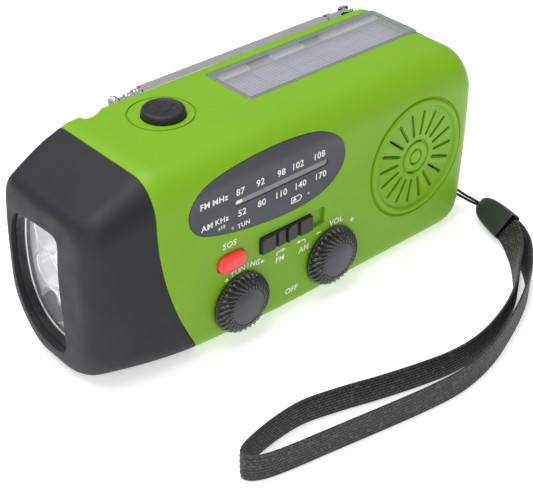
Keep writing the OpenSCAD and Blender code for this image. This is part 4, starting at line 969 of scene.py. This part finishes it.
marks = [bar(3.3, 21.4, 5.0, 21.4, 0.36, FY), bar(16.0, 20.2, 17.7, 20.2, 0.36, FY),
         bar(16.85, 19.4, 16.85, 21.0, 0.36, FY),
         wedge(-28.5, 20.9, math.radians(195), 0.75, FY), wedge(-16.1, 21.2, math.radians(-15), 0.75, FY),
         bar(-11.0, 20.6, -11.0, 21.7, 0.32, FY), bar(-11.16, 21.7, -8.9, 21.7, 0.32, FY),
         wedge(-8.6, 21.7, 0, 0.75, FY), bar(-0.9, 20.4, -0.9, 21.6, 0.32, FY), bar(-0.74, 21.6, -3.0, 21.6, 0.32, FY),
         wedge(-3.3, 21.6, math.pi, 0.75, FY)]
cell_marks = [bar(-6.2, 36.8, -3.1, 36.8, 0.25, FY), bar(-6.2, 35.1, -3.1, 35.1, 0.25, FY),
              bar(-6.1, 36.8, -6.1, 35.1, 0.25, FY), bar(-3.1, 36.8, -2.4, 35.95, 0.25, FY),
              bar(-3.1, 35.1, -2.4, 35.95, 0.25, FY), wedge(-5.1, 35.9, math.radians(210), 0.9, FY)]
scale_ob = letters("scale_print", scale_items)
face_ob = letters("face_print", face_items)
dress(drape(join("scale_print_all", [scale_ob] + cell_marks), panel), INK, "root", angle=30)
dress(drape(join("face_print_all", [face_ob] + marks), halves["shell_front"]), INK, "root", angle=30)
lamps = [revolve("y", (x, FACE, z), [(0.0001, 0.4), (0.42, 0.4), (0.42, -0.08), (0.3, -0.2), (0.0001, -0.24)], 24)
         for x, z in ((-26.2, 36.3), (0.0, 35.9))]
dress(join("dial_lamps", lamps), EPOXY, "root")


# ---------------------------------------------------------------- knobs, slider and distress button
def knob(name, body, x, z, node_name):
    """Skirted knob: swirled flutes run from a flat disc down to a scalloped rim."""
    flutes, per, base_y = 30, 14, -23.4
    n = flutes * per
    prof = [(0.0001, 3.12, 0), (5.3, 3.12, 0), (5.42, 3.2, 0), (5.5, 3.36, 0), (5.62, 3.38, 0.1), (5.85, 3.36, 0.4),
            (6.2, 3.3, 0.62), (6.7, 3.16, 0.78), (7.2, 2.95, 0.88), (7.7, 2.65, 0.94), (8.15, 2.25, 0.96),
            (8.5, 1.75, 0.92), (8.72, 1.2, 0.8), (8.8, 0.75, 0.5), (8.82, 0.55, 0), (9.0, 0.5, 0), (9.0, 0.05, 0),
            (8.9, 0.0, 0), (0.0001, 0.0, 0)]
    verts = []
    for r, h, d in prof:
        twist = 0.30 * ((8.8 - min(r, 8.8)) / 3.3) ** 1.3 if r > 5.45 else 0.30
        for k in range(n):
            a = TAU * k / n
            f = (1 - abs(math.sin(flutes * (a + twist) / 2))) ** 1.4
            slope = min(1.0, max(0.0, (h - 0.5) / 2.0))
            rr = r - d * f * (1 - 0.45 * slope)
            hh = h - d * f * 0.8 * slope
            verts.append((x + rr * math.cos(a), base_y - hh, z + rr * math.sin(a)))
    m = len(prof)
    faces = [(i * n + k, i * n + (k + 1) % n, (i + 1) * n + (k + 1) % n, (i + 1) * n + k)
             for i in range(m - 1) for k in range(n)]
    ob = solid(name, verts, faces)
    bm = bmesh.new()
    bm.from_mesh(ob.data)
    bmesh.ops.remove_doubles(bm, verts=bm.verts, dist=2e-6)
    bm.to_mesh(ob.data)
    bm.free()
    dress(ob, KNOB, body, (node_name,), angle=45)
    rim = [(0.0001, -3.0), (5.32, -3.0), (5.32, -3.24), (5.2, -3.32), (0.0001, -3.32)]
    disc = revolve("y", (x, base_y, z), rim, 96)
    dress(disc, GREY, body).name = name + "_disc"


knob("tuning_knob_cap", "tuning", *KNOBS[0], "tuning_knob")
knob("volume_knob_cap", "volume", *KNOBS[1], "volume_knob")


def slider_piece():
    """Band slider: pads between deep grooves, with a higher rib in the middle."""
    ob = box(-17, -23.35, 23.95, 1, -21.9, 28.85)
    add(ob, prism("y", round_rect(-10, 25.4, -6, 27.4, 0.3), -22.0, -16))
    for x0, x1, h in ((-16.98, -12.3, 0.85), (-11.3, -8.5, 0.62), (-8.15, -7.45, 1.15), (-7.1, -4.5, 0.62),
                      (-3.5, 0.98, 0.85)):
        add(ob, prism("y", round_rect(x0, 24.0, x1, 28.8, 0.3, 4), -23.35 - h, -23.0, edge=0.2))
    return dress(ob, BLACK_SATIN, "band_key", ("band_slider",), angle=30)


slider_piece()


def sos_piece():
    """Domed red pill."""
    rings = []
    for y, grow in ((-20.9, 0.7), (-21.0, 0.7), (-21.0, 0.0), (-23.6, 0.0), (-23.95, -0.12), (-24.2, -0.45),
                    (-24.35, -0.95), (-24.42, -1.7), (-24.44, -2.4)):
        rings.append([(p, y, q) for p, q in round_rect(SOS_X - 4.6 - grow, SOS_Z - 2.7 - grow, SOS_X + 4.6 + grow,
                                                       SOS_Z + 2.7 + grow, 2.69 + grow, 14)])
    v, f = loft(rings)
    return dress(solid("distress_button_cap", v, f, angle=40), RED, "sos_key", ("sos_button",), 40)


sos_piece()

# ---------------------------------------------------------------- tail, crank and the carried-over CAD nodes
def port_piece():
    """Rubber port cover with a rounded edge, a pull lip and three short grip ribs."""
    plate = prism("x", round_rect(-4.3, 19.7, 10.3, 40.2, 1.3), 66.85, 67.95, edge=0.25)
    for k in range(3):
        add(plate, prism("x", round_rect(0.2, 21.6 + 1.5 * k, 5.8, 22.3 + 1.5 * k, 0.3, 4), 67.6, 68.25, edge=0.15))
    add(plate, prism("y", circle(67.4, 39.7, 0.62, 24), -4.2, 10.2))
    return dress(plate, BLACK_SATIN, "port_flap", ("port_cover",), 40)


port_piece()


def antenna_pieces():
    """Chromed stages with a rolled mouth and a groove, and a button tip with a dark waist."""
    for k, r, body in ((1, 1.72, "antenna_stage_2"), (2, 1.34, "antenna_stage_3"), (3, 0.96, "antenna_tip")):
        x0, length = -21.0 - 2.6 * k, 67.0
        prof = [(r - 0.32, 0.1), (r - 0.22, 0), (r - 0.05, 0.12), (r, 0.3), (r, 0.8), (r - 0.2, 0.95), (r - 0.2, 1.2),
                (r, 1.35), (r, length), (r - 0.32, length)]
        if k == 3:
            prof = [(0.0001, 0), (r, 0), (r, length), (0.0001, length)]
        node_name = "antenna_rod" if k == 3 else "antenna_tube_%d" % (k + 1)
        tube = revolve("x", (x0, ANT_Y, ANT_Z), prof, 64)
        dress(tube, CHROME, body, (node_name,)).name = "antenna_stage_visual_%d" % (k + 1)
    tip = [(0.0001, 0), (1.5, 0.02), (1.95, 0.2), (2.1, 0.5), (2.1, 1.3), (1.9, 1.6), (1.2, 1.75),
           (0.97, 1.8), (0.0001, 1.8)]
    dress(revolve("x", (-30.6, ANT_Y, ANT_Z), tip, 64), CHROME, "antenna_tip").name = "antenna_button"
    waist = revolve("x", (-28.75, ANT_Y, ANT_Z), [(0.97, 0), (1.25, 0.05), (1.25, 0.45), (0.97, 0.5)], 48)
    dress(waist, BLACK, "antenna_tip").name = "antenna_tip_ring"


antenna_pieces()

PAINT = ((STEEL, "antenna_base crank_shaft handle_spindle usb_ports band_switch speaker_frame gear_plates"),
         (STEEL, "reduction_axle cord_posts"), (CHROME, "antenna_knuckle antenna_tube_1"), (GREEN, "crank_arm"),
         (BLACK_SATIN, "crank_handle light_switch sos_switch battery_cradle"), (PAPER, "speaker_cone"),
         (DARK_STEEL, "housing_screws speaker_magnet dynamo_can"), (SLEEVE, "battery"),
         (BOARD, "usb_board main_board torch_board light_board"), (FERRITE, "ferrite_rod"),
         (PALE, "drive_gear reduction_gear dial_back dial_pointer tuning_shaft tuning_drum tuning_capacitor"),
         (PALE, "volume_shaft"), (COPPER, "ferrite_coil"), (BRASS, "dynamo_pinion"), (FIBRE, "dial_cord"),
         (RESISTOR, "volume_control"))
painted = {name: mat for mat, names in PAINT for name in names.split()}
for name, mat in painted.items():
    if not nodes[name].hide_render:
        nodes[name].data.materials.clear()
        nodes[name].data.materials.append(mat)
left = sorted(n for n, o in nodes.items() if not o.hide_render and n not in painted)
print("nodes with no material of their own:", left)
for o in (whole, hollow, shallow, proud):
    bpy.data.objects.remove(o)

# ---------------------------------------------------------------- floor and light
floor = prism("z", [(-1500, -1500), (1500, -1500), (1500, 1500), (-1500, 1500)], -20, -0.02, "floor")
fm, ft, fb = nodes_of("pale_floor")
fcol = mix_rgb(ft, ramp(ft, noise(ft, 120, 2), 0.3, 0.7, 0, 1), (0.88, 0.88, 0.88), (0.90, 0.90, 0.90))
ft.links.new(fcol, fb.inputs["Base Color"])
ft.links.new(fcol, fb.inputs["Emission Color"])
fb.inputs["Emission Strength"].default_value = 0.55
fb.inputs["Roughness"].default_value = 0.8
floor.data.materials.append(fm)

world = bpy.data.worlds.new("studio")
scene.world = world
world.use_nodes = True
world.node_tree.nodes["Background"].inputs[0].default_value = (1, 1, 1, 1)
world.node_tree.nodes["Background"].inputs[1].default_value = 0.42


def area(name, loc, target, size, power):
    l = bpy.data.lights.new(name, "AREA")
    l.shape = "RECTANGLE"
    l.size, l.size_y = size
    l.energy = power
    o = bpy.data.objects.new(name, l)
    scene.collection.objects.link(o)
    o.location = loc
    o.rotation_euler = (Vector(target) - Vector(loc)).to_track_quat("-Z", "Y").to_euler()
    return o


area("top_softbox", (-0.15, 0.20, 0.95), (0, 0, 0), (0.9, 0.7), 8.6)
area("left_softbox", (-0.75, -0.35, 0.45), (0, 0, 0.03), (0.5, 0.6), 2.0)
area("front_fill", (0.35, -0.9, 0.35), (0, 0, 0.03), (0.6, 0.5), 0.6)
scene.view_settings.view_transform = "Standard"
